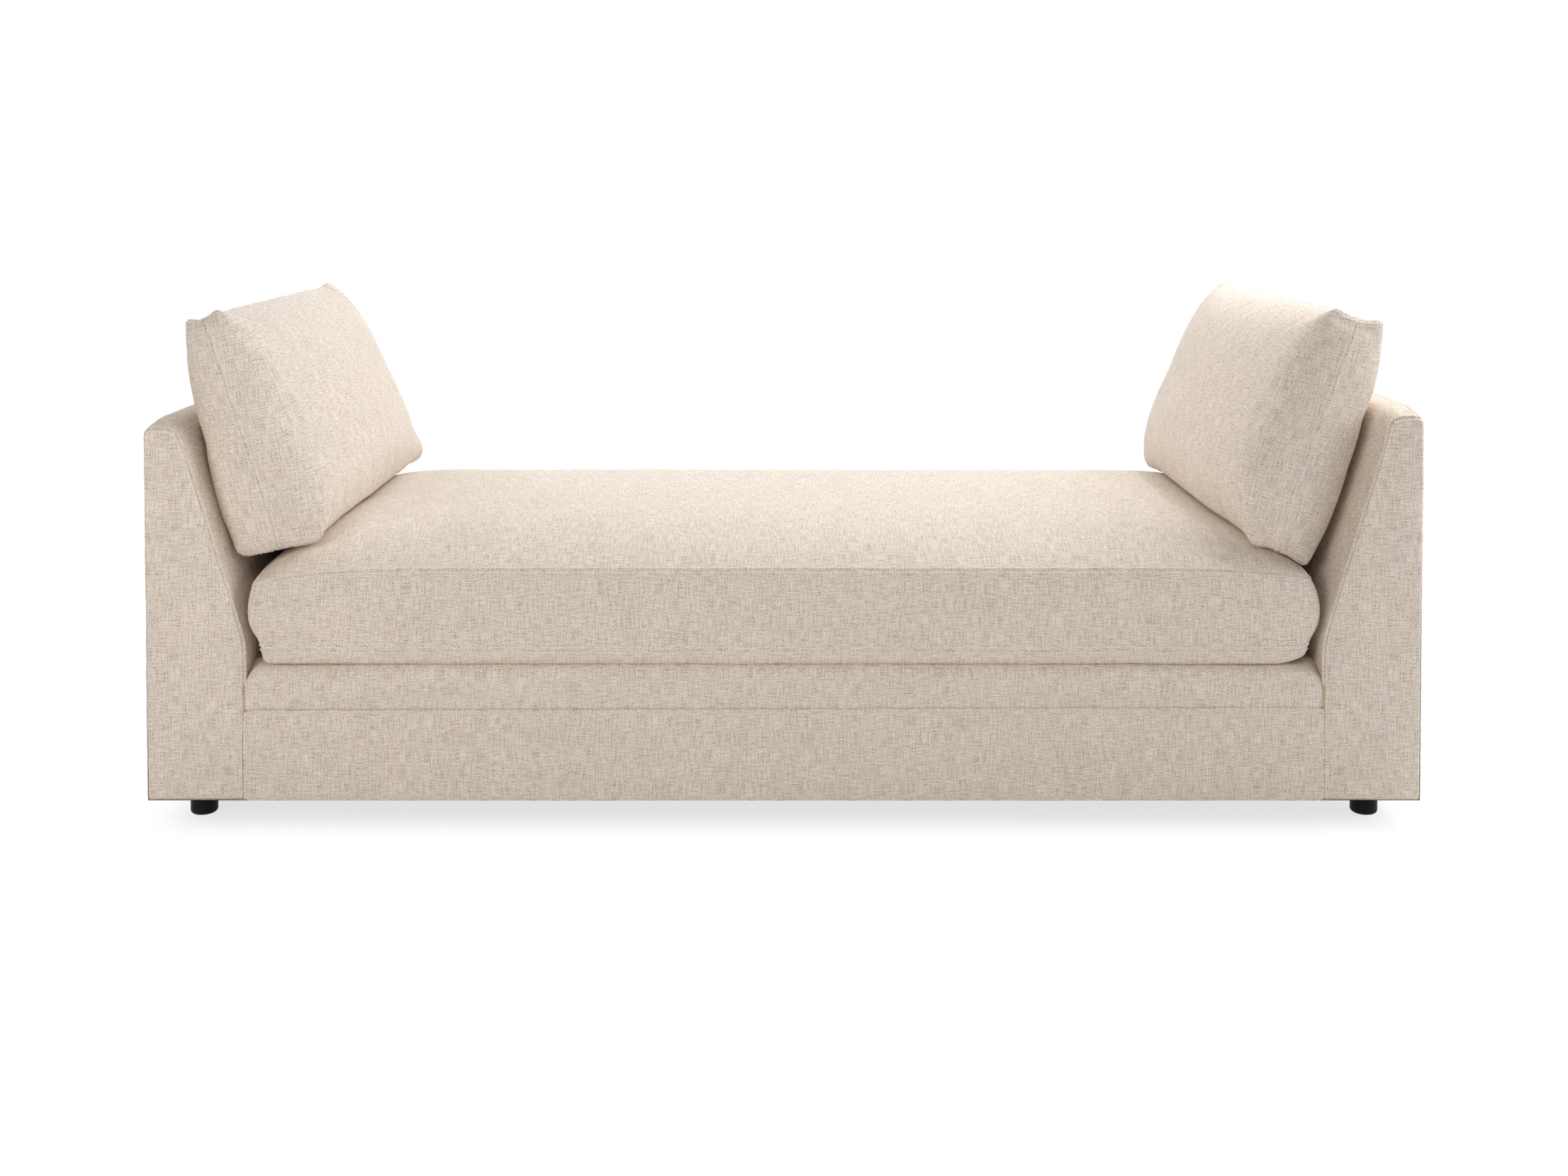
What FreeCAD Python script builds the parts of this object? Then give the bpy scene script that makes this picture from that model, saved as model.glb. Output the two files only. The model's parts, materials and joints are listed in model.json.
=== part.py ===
import FreeCAD, Part
import math
import os
import Sketcher
from FreeCAD import Placement, Rotation, Vector

# Backless divan: an upholstered base with two wedge-shaped arms, a loose box seat
# cushion and two loose pillows that lean on the arms. +X runs along the length,
# -Y is the front, +Z is up, and the origin is on the floor under the middle.

doc = FreeCAD.newDocument("divan")
sheet = doc.addObject("Spreadsheet::Sheet", "sizes")

SIZES = {
    # Overall, in millimetres
    "overall_length": 2286,
    "overall_depth": 940,
    "foot_height": 53,
    "deck_height": 295,
    "band_height": 77,
    "front_setback": 5,
    # Arms
    "arm_height": 730,
    "arm_base_width": 177,
    "arm_top_width": 55,
    "arm_slope_rise": 41,
    "arm_inner_round": 30,
    "arm_outer_round": 10,
    "arm_seam_drop": 12,
    "arm_foam": 20,
    # Cloth, boards and timber
    "cover": 2,
    "dust_sheet": 1,
    "board": 3,
    "panel": 18,
    "rail": 25,
    "top_rail_width": 30,
    "top_rail_height": 25,
    "tack_rail_width": 20,
    "tack_rail_height": 60,
    "cross_rail_place": 330,
    "cross_rail_height": 80,
    "block_leg": 150,
    "block_height": 40,
    # Padding and springs under the seat
    "roll_depth": 65,
    "roll_round": 22,
    "deck_foam": 22,
    "insulator": 3,
    "insulator_edge": 5,
    "clip_height": 10,
    "clip_width": 16,
    "clip_depth": 14,
    "spring_wire": 3.8,
    "spring_turn": 12,
    "spring_bar": 28,
    "spring_spacing": 138,
    "tie_wire": 2,
    "tie_place": 210,
    "wire_gap": 0.2,
    # Feet and fasteners
    "foot_radius": 24.5,
    "foot_round": 7,
    "foot_from_end": 73,
    "foot_from_front": 95,
    "foot_gap": 1.5,
    "bolt_radius": 4,
    "bolt_reach": 39,
    "nut_wall": 1.2,
    "nut_barrel": 12,
    "nut_flange": 11,
    "nut_flange_height": 1.5,
    "screw_radius": 2.5,
    "screw_head": 4.5,
    "screw_length": 40,
    "screw_from_edge": 45,
    # Seat cushion
    "seat_clearance": 3,
    "seat_side_gap": 9,
    "seat_low_seam": 29,
    "seat_top_seam": 168,
    "seat_crown": 75,
    "seat_end_rise": 40,
    "seat_end_drop": 30,
    "seat_corner": 18,
    "seat_shoulder": 80,
    "seat_front_bulge": 6,
    "seat_back_bulge": 2,
    # Pillows
    "pillow_length": 836,
    "pillow_height": 450,
    "pillow_rise": 19,
    "pillow_foot": 28,
    "pillow_foot_width": 131,
    "pillow_head": 56,
    "pillow_head_width": 54,
    "pillow_head_bulge": 18,
    "pillow_draw_in": 20,
    "pillow_inner_bulge": 80,
    "pillow_outer_bulge": 36,
    "pillow_foot_bulge": 2,
    "pillow_end_share": 0.25,
    # Fit between a cushion's cover and what fills it
    "fill_clearance": 0.3,
    # Zips
    "zip_width": 8,
    "zip_length": 1400,
    "pillow_zip_length": 600,
    "pillow_zip_drop": 12,
    "pillow_zip_thickness": 3,
    "slider_length": 12,
    "slider_height": 10,
    "slider_gap": 0.4,
    "slider_wall": 2.2,
    "slider_thickness": 3.6,
    "tab_length": 20,
    "tab_width": 7,
    "tab_thickness": 1.5,
}


class Size:
    """A length that keeps its value and the sheet formula that it comes from."""

    def __init__(self, value, text):
        self.value = value
        self.text = text

    def join(self, sign, other, value):
        return Size(value, f"({self.text} {sign} {words(other)})")

    def __add__(self, other):
        return self.join("+", other, self.value + number(other))

    def __sub__(self, other):
        return self.join("-", other, self.value - number(other))

    def __mul__(self, other):
        return self.join("*", other, self.value * number(other))

    def __truediv__(self, other):
        return self.join("/", other, self.value / number(other))

    def __neg__(self):
        return Size(-self.value, f"(0 - {self.text})")

    def __radd__(self, other):
        return self + other

    def __rsub__(self, other):
        return -self + other

    def __rmul__(self, other):
        return self * other


def number(length):
    return length.value if isinstance(length, Size) else length


def words(length):
    return length.text if isinstance(length, Size) else repr(length)


def root(length):
    return Size(math.sqrt(length.value), f"sqrt({length.text})")


def fill_sheet():
    for row, (alias, length) in enumerate(SIZES.items(), 1):
        sheet.set(f"A{row}", alias)
        sheet.set(f"B{row}", str(length))
        sheet.setAlias(f"B{row}", alias)
    doc.recompute()


fill_sheet()


def size(alias):
    return Size(float(getattr(sheet, alias)), f"sizes.{alias}")


# Planes and heights that several pieces share

cover = size("cover")
half_length = size("overall_length") / 2
front_face = size("overall_depth") / 2 - size("front_setback")
panel_face = front_face - cover
rail_face = panel_face - size("panel")
rail_back = rail_face - size("rail")
roll_back = front_face - size("roll_depth")

cloth_bottom = size("foot_height")
wood_bottom = cloth_bottom + size("dust_sheet")
deck_top = size("deck_height")
deck_foam_top = deck_top - cover
insulator_top = deck_foam_top - size("deck_foam")
clip_top = insulator_top - size("insulator")
rail_top = clip_top - size("clip_height")
wire_height = rail_top + size("clip_height") / 2
band_seam = deck_top - size("band_height")

arm_top = size("arm_height")
arm_inner = half_length - size("arm_base_width")
slope_start = deck_top + size("arm_slope_rise")
slope = (size("arm_base_width") - size("arm_top_width")) / (arm_top - slope_start)
slope_stretch = root(slope * slope + 1)
arm_padding = cover + size("arm_foam")
board_line = arm_padding + size("board")
outer_wall = cover + size("board")
end_rail_outer = half_length - outer_wall
end_rail_inner = end_rail_outer - size("rail")
foot_x = half_length - size("foot_from_end")
foot_y = front_face - size("foot_from_front")

SIDES = {"left": -1, "right": 1}
ENDS = {"front": -1, "back": 1}


def tie(thing, path, length):
    thing.setExpression(path, f"{words(length)} * 1 mm")


def place(thing, x, y, z):
    for axis, length in zip("xyz", (x, y, z)):
        tie(thing, f"Placement.Base.{axis}", length)


# Makers of simple solids, all sized from the sheet


def box(name, low, high):
    """A board between two opposite corners."""
    thing = doc.addObject("Part::Box", name)
    for side, near, far in zip(("Length", "Width", "Height"), low, high):
        tie(thing, side, far - near)
    place(thing, *low)
    thing.Label = name
    return thing


def rod(name, radius, length, foot, direction):
    """A round bar that starts at foot and runs along direction."""
    thing = doc.addObject("Part::Cylinder", name)
    tie(thing, "Radius", radius)
    tie(thing, "Height", length)
    thing.Placement = Placement(Vector(), Rotation(Vector(0, 0, 1), Vector(*direction)))
    place(thing, *foot)
    return thing


def cut(name, base, tool):
    thing = doc.addObject("Part::Cut", name)
    thing.Base = base
    thing.Tool = tool
    thing.Label = name
    return thing


def fuse(name, pieces):
    thing = doc.addObject("Part::MultiFuse", name)
    thing.Shapes = pieces
    thing.Label = name
    return thing


def group(name, pieces):
    thing = doc.addObject("Part::Compound", name)
    thing.Links = pieces
    thing.Label = name
    return thing


def between(side, near, far):
    """The two x bounds of something on the left or the right, lowest first."""
    bounds = (side * near, side * far)
    return sorted(bounds, key=number)


def plane_of(body, role):
    return next(f for f in body.Origin.OriginFeatures if f.Role == role)


TOUCHING = 0.01  # two places nearer than this, in millimetres, are the same


def pad(name, role, points, low, high):
    """A body padded from an outline, across the outline's plane from low to high."""
    body = doc.addObject("PartDesign::Body", name)
    sketch = body.newObject("Sketcher::SketchObject", f"{name}_outline")
    sketch.AttachmentSupport = [(plane_of(body, role), "")]
    sketch.MapMode = "FlatFace"
    upright = role != "XZ_Plane"
    tie(sketch, "AttachmentOffset.Base.z", low if upright else -high)
    spots = [Vector(number(a), number(b), 0) for a, b in points]
    for index, spot in enumerate(spots):
        after = spots[(index + 1) % len(spots)]
        sketch.addGeometry(Part.LineSegment(spot, after), False)
    for index, (a, b) in enumerate(points):
        after = (index + 1) % len(points)
        sketch.addConstraint(Sketcher.Constraint("Coincident", index, 2, after, 1))
        for kind, length in (("DistanceX", a), ("DistanceY", b)):
            rule = Sketcher.Constraint(kind, -1, 1, index, 1, float(number(length)))
            tie(sketch, f"Constraints[{sketch.addConstraint(rule)}]", length)
    solid = body.newObject("PartDesign::Pad", f"{name}_pad")
    solid.Profile = sketch
    tie(solid, "Length", high - low)
    sketch.Visibility = False
    body.Label = name
    doc.recompute()
    return body


def edges_at(shape, axes, corner):
    """Names of the straight edges that stand on one corner of an outline."""
    found = []
    for index, edge in enumerate(shape.Edges, 1):
        ends = [vertex.Point for vertex in edge.Vertexes]
        gaps = [abs(end[axis] - number(spot)) for end in ends for axis, spot in zip(axes, corner)]
        if len(ends) == 2 and max(gaps) < TOUCHING:
            found.append(f"Edge{index}")
    return found


def rounded(body, axes, corners):
    """Rounds corners of the outline: a list of (corner, radius)."""
    for index, (corner, radius) in enumerate(corners):
        base = body.Tip
        names = edges_at(base.Shape, axes, corner)
        if not names:
            raise RuntimeError(f"{body.Label}: no edge at its corner {index}")
        soft = body.newObject("PartDesign::Fillet", f"{body.Label}_round{index}")
        soft.Base = (base, names)
        tie(soft, "Radius", radius)
        doc.recompute()
    return body


# Timber of the base


def screw(name, x, y, z, way):
    """A countersunk wood screw through a rail, pointing along Y."""
    shank = rod(f"{name}_shank", size("screw_radius"), size("screw_length"), (x, y, z), (0, way, 0))
    head = doc.addObject("Part::Cone", f"{name}_head")
    tie(head, "Radius1", size("screw_head"))
    tie(head, "Radius2", size("screw_radius"))
    tie(head, "Height", size("screw_head") - size("screw_radius"))
    turn = Rotation(Vector(0, 0, 1), Vector(0, way, 0))
    head.Placement = Placement(Vector(), turn)
    place(head, x, y, z)
    return fuse(name, [shank, head])


def make_screws():
    """Screws from inside each long rail into the arm panels, and from outside into the cross rails."""
    made = {"front": [], "back": []}
    across = half_length - size("arm_base_width") / 2
    heights = (wood_bottom + size("screw_from_edge"), rail_top - size("screw_from_edge"))
    low = wood_bottom + size("cross_rail_height") / 4
    high = wood_bottom + size("cross_rail_height") * 3 / 4
    for end, way in ENDS.items():
        for side, sign in SIDES.items():
            for level, z in enumerate(heights):
                name = f"{end}_{side}_panel_screw{level}"
                made[end].append(screw(name, sign * across, way * rail_back, z, way))
            for level, z in enumerate((low, high)):
                name = f"{end}_{side}_cross_screw{level}"
                x = sign * size("cross_rail_place")
                made[end].append(screw(name, x, way * rail_face, z, -way))
    return made


def make_long_rails(screws):
    """The front and back rails run the whole length behind the arm panels, bored for their screws."""
    for end, way in ENDS.items():
        y = between(way, rail_back, rail_face)
        low = (-end_rail_outer, y[0], wood_bottom)
        plank = box(f"{end}_rail_plank", low, (end_rail_outer, y[1], rail_top))
        bores = group(f"{end}_rail_bores", screws[end])
        keep(cut(f"{end}_rail", plank, bores), "timber")


def make_end_rails():
    for side, sign in SIDES.items():
        x = between(sign, end_rail_inner, end_rail_outer)
        keep(box(f"{side}_end_rail", (x[0], -rail_back, wood_bottom), (x[1], rail_back, rail_top)), "timber")


def make_cross_rails():
    pieces = []
    for side, sign in SIDES.items():
        middle = sign * size("cross_rail_place")
        low = (middle - size("rail") / 2, -rail_back, wood_bottom)
        high = (middle + size("rail") / 2, rail_back, wood_bottom + size("cross_rail_height"))
        pieces.append(box(f"{side}_cross_rail", low, high))
    keep(group("cross_rails", pieces), "timber")


def make_corner_blocks():
    """Three-cornered blocks, each bored for the nut that takes a foot's bolt."""
    pieces = []
    top = wood_bottom + size("block_height")
    for side, sign in SIDES.items():
        for end, way in ENDS.items():
            corner = (sign * end_rail_inner, way * rail_back)
            along = (corner[0] - sign * size("block_leg"), corner[1])
            across = (corner[0], corner[1] - way * size("block_leg"))
            block = pad(f"{end}_{side}_block_blank", "XY_Plane", [corner, along, across], wood_bottom, top)
            foot = (sign * foot_x, way * foot_y, wood_bottom)
            radius = size("bolt_radius") + size("nut_wall")
            bore = rod(f"{end}_{side}_block_bore", radius, size("block_height"), foot, (0, 0, 1))
            pieces.append(cut(f"{end}_{side}_block", block, bore))
    keep(group("corner_blocks", pieces), "timber")


# Arms


def slope_x(z, inset):
    """Distance from the middle to the arm's inner face, inset into the arm, at height z."""
    return arm_inner + slope * (z - slope_start) + inset * slope_stretch


def slope_foot(inset):
    """Height at which the inset inner face turns from upright to slanted."""
    return slope_start + inset * (1 - slope_stretch) / slope


def on_side(sign, points):
    return [(sign * x, z) for x, z in points]


def make_arm_panels(side, sign):
    """Plywood panels at the two ends of an arm, stepped to meet the padded rail."""
    top = arm_top - arm_padding
    points = [
        (end_rail_outer, wood_bottom),
        (end_rail_outer, top),
        (slope_x(top, board_line), top),
        (arm_inner + board_line, slope_foot(board_line)),
        (arm_inner + board_line, rail_top),
        (arm_inner, rail_top),
        (arm_inner, wood_bottom),
    ]
    for end, way in ENDS.items():
        y = between(way, rail_face, panel_face)
        keep(pad(f"{side}_arm_{end}_panel", "XZ_Plane", on_side(sign, points), *y), "timber")


def make_arm_rails(side, sign):
    top = arm_top - arm_padding
    x = between(sign, end_rail_outer - size("top_rail_width"), end_rail_outer)
    low = (x[0], -rail_face, top - size("top_rail_height"))
    keep(box(f"{side}_arm_top_rail", low, (x[1], rail_face, top)), "timber")
    near = arm_inner + board_line
    x = between(sign, near, near + size("tack_rail_width"))
    low = (x[0], -rail_face, rail_top)
    keep(box(f"{side}_arm_tack_rail", low, (x[1], rail_face, rail_top + size("tack_rail_height"))), "timber")


def make_arm_boards(side, sign):
    """Hardboard that carries the padding inside the arm and the cloth outside it."""
    top = arm_top - arm_padding
    points = [
        (arm_inner + arm_padding, rail_top),
        (arm_inner + arm_padding, slope_foot(arm_padding)),
        (slope_x(top, arm_padding), top),
        (slope_x(top, board_line), top),
        (arm_inner + board_line, slope_foot(board_line)),
        (arm_inner + board_line, rail_top),
    ]
    name = f"{side}_arm_inner_board"
    keep(pad(name, "XZ_Plane", on_side(sign, points), -panel_face, panel_face), "hardboard")
    x = between(sign, end_rail_outer, half_length - cover)
    top = arm_top - size("arm_seam_drop")
    low = (x[0], -panel_face, wood_bottom)
    keep(box(f"{side}_arm_outer_board", low, (x[1], panel_face, top)), "hardboard")


def make_arm_foam(side, sign):
    """Foam over the slanted inner face and the top, down to the outer board."""
    top = arm_top - cover
    under = arm_top - arm_padding
    board_top = arm_top - size("arm_seam_drop")
    outer = half_length - cover
    points = [
        (arm_inner + cover, rail_top),
        (arm_inner + cover, slope_foot(cover)),
        (slope_x(top, cover), top),
        (outer, top),
        (outer, board_top),
        (end_rail_outer, board_top),
        (end_rail_outer, under),
        (slope_x(under, arm_padding), under),
        (arm_inner + arm_padding, slope_foot(arm_padding)),
        (arm_inner + arm_padding, rail_top),
    ]
    points = on_side(sign, points)
    body = pad(f"{side}_arm_foam", "XZ_Plane", points, -panel_face, panel_face)
    corners = [(points[2], size("arm_inner_round") - cover), (points[3], size("arm_outer_round") - cover)]
    keep(rounded(body, (0, 2), corners), "foam")


def make_arm_cover(side, sign):
    """One cloth panel from the seat up the inner face, over the top, to the outer seam."""
    inside_top = arm_top - cover
    outside = half_length - cover
    seam = arm_top - size("arm_seam_drop")
    points = [
        (arm_inner, rail_top),
        (arm_inner, slope_start),
        (slope_x(arm_top, 0), arm_top),
        (half_length, arm_top),
        (half_length, seam),
        (outside, seam),
        (outside, inside_top),
        (slope_x(inside_top, cover), inside_top),
        (arm_inner + cover, slope_foot(cover)),
        (arm_inner + cover, rail_top),
    ]
    points = on_side(sign, points)
    body = pad(f"{side}_arm_cover", "XZ_Plane", points, -panel_face, panel_face)
    corners = [
        (points[2], size("arm_inner_round")),
        (points[3], size("arm_outer_round")),
        (points[6], size("arm_outer_round") - cover),
        (points[7], size("arm_inner_round") - cover),
    ]
    keep(rounded(body, (0, 2), corners), "cloth")
    x = between(sign, outside, half_length)
    low = (x[0], -panel_face, cloth_bottom)
    keep(box(f"{side}_arm_outer_cover", low, (x[1], panel_face, seam)), "cloth")


def make_arm_facings(side, sign):
    """The cloth panels that close the arm's front and back ends."""
    points = [
        (half_length, cloth_bottom),
        (half_length, arm_top),
        (slope_x(arm_top, 0), arm_top),
        (arm_inner, slope_start),
        (arm_inner, cloth_bottom),
    ]
    points = on_side(sign, points)
    corners = [(points[1], size("arm_outer_round")), (points[2], size("arm_inner_round"))]
    for end, way in ENDS.items():
        y = between(way, panel_face, front_face)
        body = pad(f"{side}_arm_{end}_facing", "XZ_Plane", points, *y)
        keep(rounded(body, (0, 2), corners), "cloth")


# Seat support


def zigzag(x, y_start, turns):
    """The centre line of one zigzag spring: straight bars along X joined by half turns."""
    turn = size("spring_turn").value
    reach = size("spring_bar").value / 2
    z = wire_height.value
    edges = []
    for index in range(turns):
        y = y_start + 2 * turn * index
        way = 1 if index % 2 == 0 else -1
        first = Vector(x - way * reach, y, z)
        last = Vector(x + way * reach, y, z)
        edges.append(Part.LineSegment(first, last).toShape())
        if index < turns - 1:
            middle = Vector(x + way * (reach + turn), y + turn, z)
            end = Vector(x + way * reach, y + 2 * turn, z)
            edges.append(Part.Arc(last, middle, end).toShape())
    return Part.Wire(edges)


def spring_places():
    room = arm_inner.value - size("spring_bar").value
    spacing = size("spring_spacing").value
    count = int(room // spacing)
    return [index * spacing for index in range(-count, count + 1)]


def spring_turns():
    """How many bars fit between the clips, and where the first one lies."""
    reach = rail_face.value - size("clip_depth").value
    pitch = 2 * size("spring_turn").value
    turns = int(2 * reach // pitch) + 1
    return turns, -pitch * (turns - 1) / 2


def make_springs():
    turns, start = spring_turns()
    path = zigzag(0, start, turns)
    first = path.Edges[0]
    middle = first.valueAt((first.FirstParameter + first.LastParameter) / 2)
    circle = Part.makeCircle(size("spring_wire").value / 2, first.Vertexes[0].Point, Vector(1, 0, 0))
    ring = Part.Wire(circle)
    wire = path.makePipeShell([ring], True, False)
    made = []
    for x in spring_places():
        spring = wire.copy()
        spring.translate(Vector(x - middle.x, 0, 0))
        made.append(spring)
    thing = doc.addObject("Part::Feature", "sinuous_springs")
    thing.Shape = Part.makeCompound(made)
    thing.Label = "sinuous_springs"
    keep(thing, "steel")


def make_clips():
    """Clips nailed on the rails, each folded round the end bar of a spring."""
    start = spring_turns()[1]
    pieces = []
    for index, x in enumerate(spring_places()):
        for end, way in ENDS.items():
            y = way * abs(start)
            body = doc.addObject("Part::Box", f"clip_{end}_{index}")
            tie(body, "Length", size("clip_width"))
            tie(body, "Width", size("clip_depth"))
            tie(body, "Height", size("clip_height"))
            place(body, x - size("clip_width") / 2, y - size("clip_depth") / 2, rail_top)
            foot = (x - size("clip_width") / 2, y, wire_height)
            bore = rod(
                f"clip_bore_{end}_{index}", size("spring_wire") / 2 + size("wire_gap"),
                size("clip_width"), foot, (1, 0, 0),
            )
            pieces.append(cut(f"clip_cut_{end}_{index}", body, bore))
    keep(group("spring_clips", pieces), "steel")


def make_tie_wires():
    """Wires that lie across the springs and are fixed inside the end rails."""
    height = wire_height + size("spring_wire") / 2 + size("tie_wire") / 2 + size("wire_gap")
    span = arm_inner * 2
    pieces = []
    for index in (-1, 0, 1):
        foot = (-arm_inner, index * size("tie_place"), height)
        pieces.append(rod(f"tie_wire_{index + 2}", size("tie_wire") / 2, span, foot, (1, 0, 0)))
    keep(group("spring_tie_wires", pieces), "steel")


def make_deck():
    """Felt, foam and cloth over the springs."""
    reach = rail_face - size("insulator_edge")
    keep(box("deck_insulator", (-arm_inner, -reach, clip_top), (arm_inner, reach, insulator_top)), "felt")
    low = (-arm_inner, -roll_back, insulator_top)
    keep(box("deck_foam", low, (arm_inner, roll_back, deck_foam_top)), "foam")
    low = (-arm_inner, -roll_back, deck_foam_top)
    keep(box("deck_cover", low, (arm_inner, roll_back, deck_top)), "deck_cloth")


def make_rolls():
    """Padding and cloth over the long rails: a padded band above a plain panel."""
    for end, way in ENDS.items():
        foam = [
            (way * rail_face, wood_bottom),
            (way * panel_face, wood_bottom),
            (way * panel_face, deck_foam_top),
            (way * roll_back, deck_foam_top),
            (way * roll_back, insulator_top),
            (way * rail_face, insulator_top),
        ]
        body = pad(f"{end}_rail_foam", "YZ_Plane", foam, -arm_inner, arm_inner)
        keep(rounded(body, (1, 2), [(foam[2], size("roll_round") - cover)]), "foam")
        band = [
            (way * front_face, band_seam),
            (way * front_face, deck_top),
            (way * roll_back, deck_top),
            (way * roll_back, deck_foam_top),
            (way * panel_face, deck_foam_top),
            (way * panel_face, band_seam),
        ]
        body = pad(f"{end}_band_cover", "YZ_Plane", band, -arm_inner, arm_inner)
        corners = [(band[1], size("roll_round")), (band[4], size("roll_round") - cover)]
        keep(rounded(body, (1, 2), corners), "cloth")
        y = between(way, panel_face, front_face)
        low = (-arm_inner, y[0], cloth_bottom)
        keep(box(f"{end}_panel_cover", low, (arm_inner, y[1], band_seam)), "cloth")


def make_dust_cover():
    """Thin black cloth under the base, with a hole for each foot."""
    reach = half_length - cover
    sheet_box = box("dust_sheet", (-reach, -panel_face, cloth_bottom), (reach, panel_face, wood_bottom))
    holes = []
    for side, sign in SIDES.items():
        for end, way in ENDS.items():
            foot = (sign * foot_x, way * foot_y, cloth_bottom)
            radius = size("foot_radius") + size("foot_gap")
            holes.append(rod(f"{end}_{side}_dust_hole", radius, size("dust_sheet"), foot, (0, 0, 1)))
    keep(cut("dust_cover", sheet_box, group("dust_holes", holes)), "dust_cloth")


# Feet


def make_feet():
    """Round feet, each with a bolt into a nut in the corner block above it."""
    bolts = []
    nuts = []
    for side, sign in SIDES.items():
        for end, way in ENDS.items():
            middle = (sign * foot_x, way * foot_y)
            name = f"{end}_{side}_foot"
            body = doc.addObject("PartDesign::Body", name)
            sketch = body.newObject("Sketcher::SketchObject", f"{name}_outline")
            sketch.AttachmentSupport = [(plane_of(body, "XY_Plane"), "")]
            sketch.MapMode = "FlatFace"
            sketch.addGeometry(Part.Circle(Vector(), Vector(0, 0, 1), number(size("foot_radius"))), False)
            sketch.addGeometry(Part.Circle(Vector(), Vector(0, 0, 1), number(size("bolt_radius"))), False)
            for index, radius in enumerate(("foot_radius", "bolt_radius")):
                sketch.addConstraint(Sketcher.Constraint("Coincident", index, 3, -1, 1))
                rule = Sketcher.Constraint("Radius", index, float(number(size(radius))))
                tie(sketch, f"Constraints[{sketch.addConstraint(rule)}]", size(radius))
            solid = body.newObject("PartDesign::Pad", f"{name}_pad")
            solid.Profile = sketch
            tie(solid, "Length", wood_bottom)
            doc.recompute()
            soft = body.newObject("PartDesign::Fillet", f"{name}_round")
            reach = number(size("foot_radius")) - TOUCHING
            rim = [
                f"Edge{index}" for index, edge in enumerate(solid.Shape.Edges, 1)
                if edge.BoundBox.ZMax < TOUCHING and edge.BoundBox.XMax > reach
            ]
            soft.Base = (solid, rim)
            tie(soft, "Radius", size("foot_round"))
            place(body, *middle, Size(0.0, "0"))
            body.Label = name
            keep(body, "foot_plastic")
            start = wood_bottom - size("bolt_reach")
            length = size("bolt_reach") + size("block_height") + size("nut_flange_height")
            bolts.append(rod(f"{name}_bolt", size("bolt_radius"), length, (*middle, start), (0, 0, 1)))
            nuts.append(make_nut(name, middle))
    keep(group("foot_bolts", bolts), "steel")
    keep(group("foot_tee_nuts", nuts), "steel")


def make_nut(name, middle):
    top = wood_bottom + size("block_height")
    wall = size("bolt_radius") + size("nut_wall")
    start = top - size("nut_barrel")
    height = size("nut_flange_height")
    barrel = rod(f"{name}_nut_barrel", wall, size("nut_barrel"), (*middle, start), (0, 0, 1))
    flange = rod(f"{name}_nut_flange", size("nut_flange"), height, (*middle, top), (0, 0, 1))
    length = size("nut_barrel") + height
    bore = rod(f"{name}_nut_bore", size("bolt_radius"), length, (*middle, start), (0, 0, 1))
    return cut(f"{name}_nut", fuse(f"{name}_nut_blank", [barrel, flange]), bore)


# Cushions: lofts through closed outlines of lines and arcs


def closed_wire(corners, to_space):
    """A closed wire through flat corners, each given with how far the next side bulges outwards."""
    edges = []
    for index, ((a, b), bulge) in enumerate(corners):
        (c, d) = corners[(index + 1) % len(corners)][0]
        start = to_space(a, b)
        end = to_space(c, d)
        if bulge == 0:
            edges.append(Part.LineSegment(start, end).toShape())
            continue
        length = math.hypot(c - a, d - b)
        middle = to_space((a + c) / 2 + bulge * (d - b) / length, (b + d) / 2 - bulge * (c - a) / length)
        edges.append(Part.Arc(start, middle, end).toShape())
    return Part.Wire(edges)


def loft(wires):
    solid = Part.makeLoft(wires, True, False)
    if solid.Volume < 0:
        solid.reverse()
    return solid


def feature(name, shape):
    thing = doc.addObject("Part::Feature", name)
    thing.Shape = shape
    thing.Label = name
    return thing


# Places of the outlines along a cushion, as shares of half its length
SEAT_STATIONS = (0, 0.3, 0.55, 0.75, 0.86, 0.92, 0.955, 0.98, 0.993, 1)
PILLOW_STATIONS = (0, 0.35, 0.65, 0.88, 1)

# How a cushion gathers towards its ends: powers of the share of the way there. A higher power
# keeps the middle's outline for longer and then turns in faster.
SEAT_END_POWER = 60
SEAT_SHOULDER_POWER = 12
SEAT_CROWN_POWER = 6
PILLOW_END_POWER = 3

# Shares that shape the outlines
SEAT_CROWN_AT_END = 1 / 11  # of the crown that is left at the very end
SEAT_SHOULDER_LIFT = 0.6  # of the crown that is reached at the shoulder
SEAT_SHOULDER_BULGE = 1 / 12  # of the shoulder's width
SEAT_CORNER_BULGE = 1 / 5  # of the corner's radius
SEAT_CORNER_DRAW_IN = 1 / 3  # of the corner's radius, at the very end
PILLOW_FOOT_LEVEL = 0.5  # of the tilt that the foot loses by lying on the seat

seat_bottom = deck_top + size("seat_clearance")
seat_half = arm_inner - size("seat_side_gap")
seat_depth = size("overall_depth") / 2 - size("seat_front_bulge")
seat_middle = seat_bottom + (size("seat_low_seam") + size("seat_top_seam")) / 2


def both_ways(stations):
    return [-share for share in reversed(stations[1:])] + list(stations)


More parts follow.
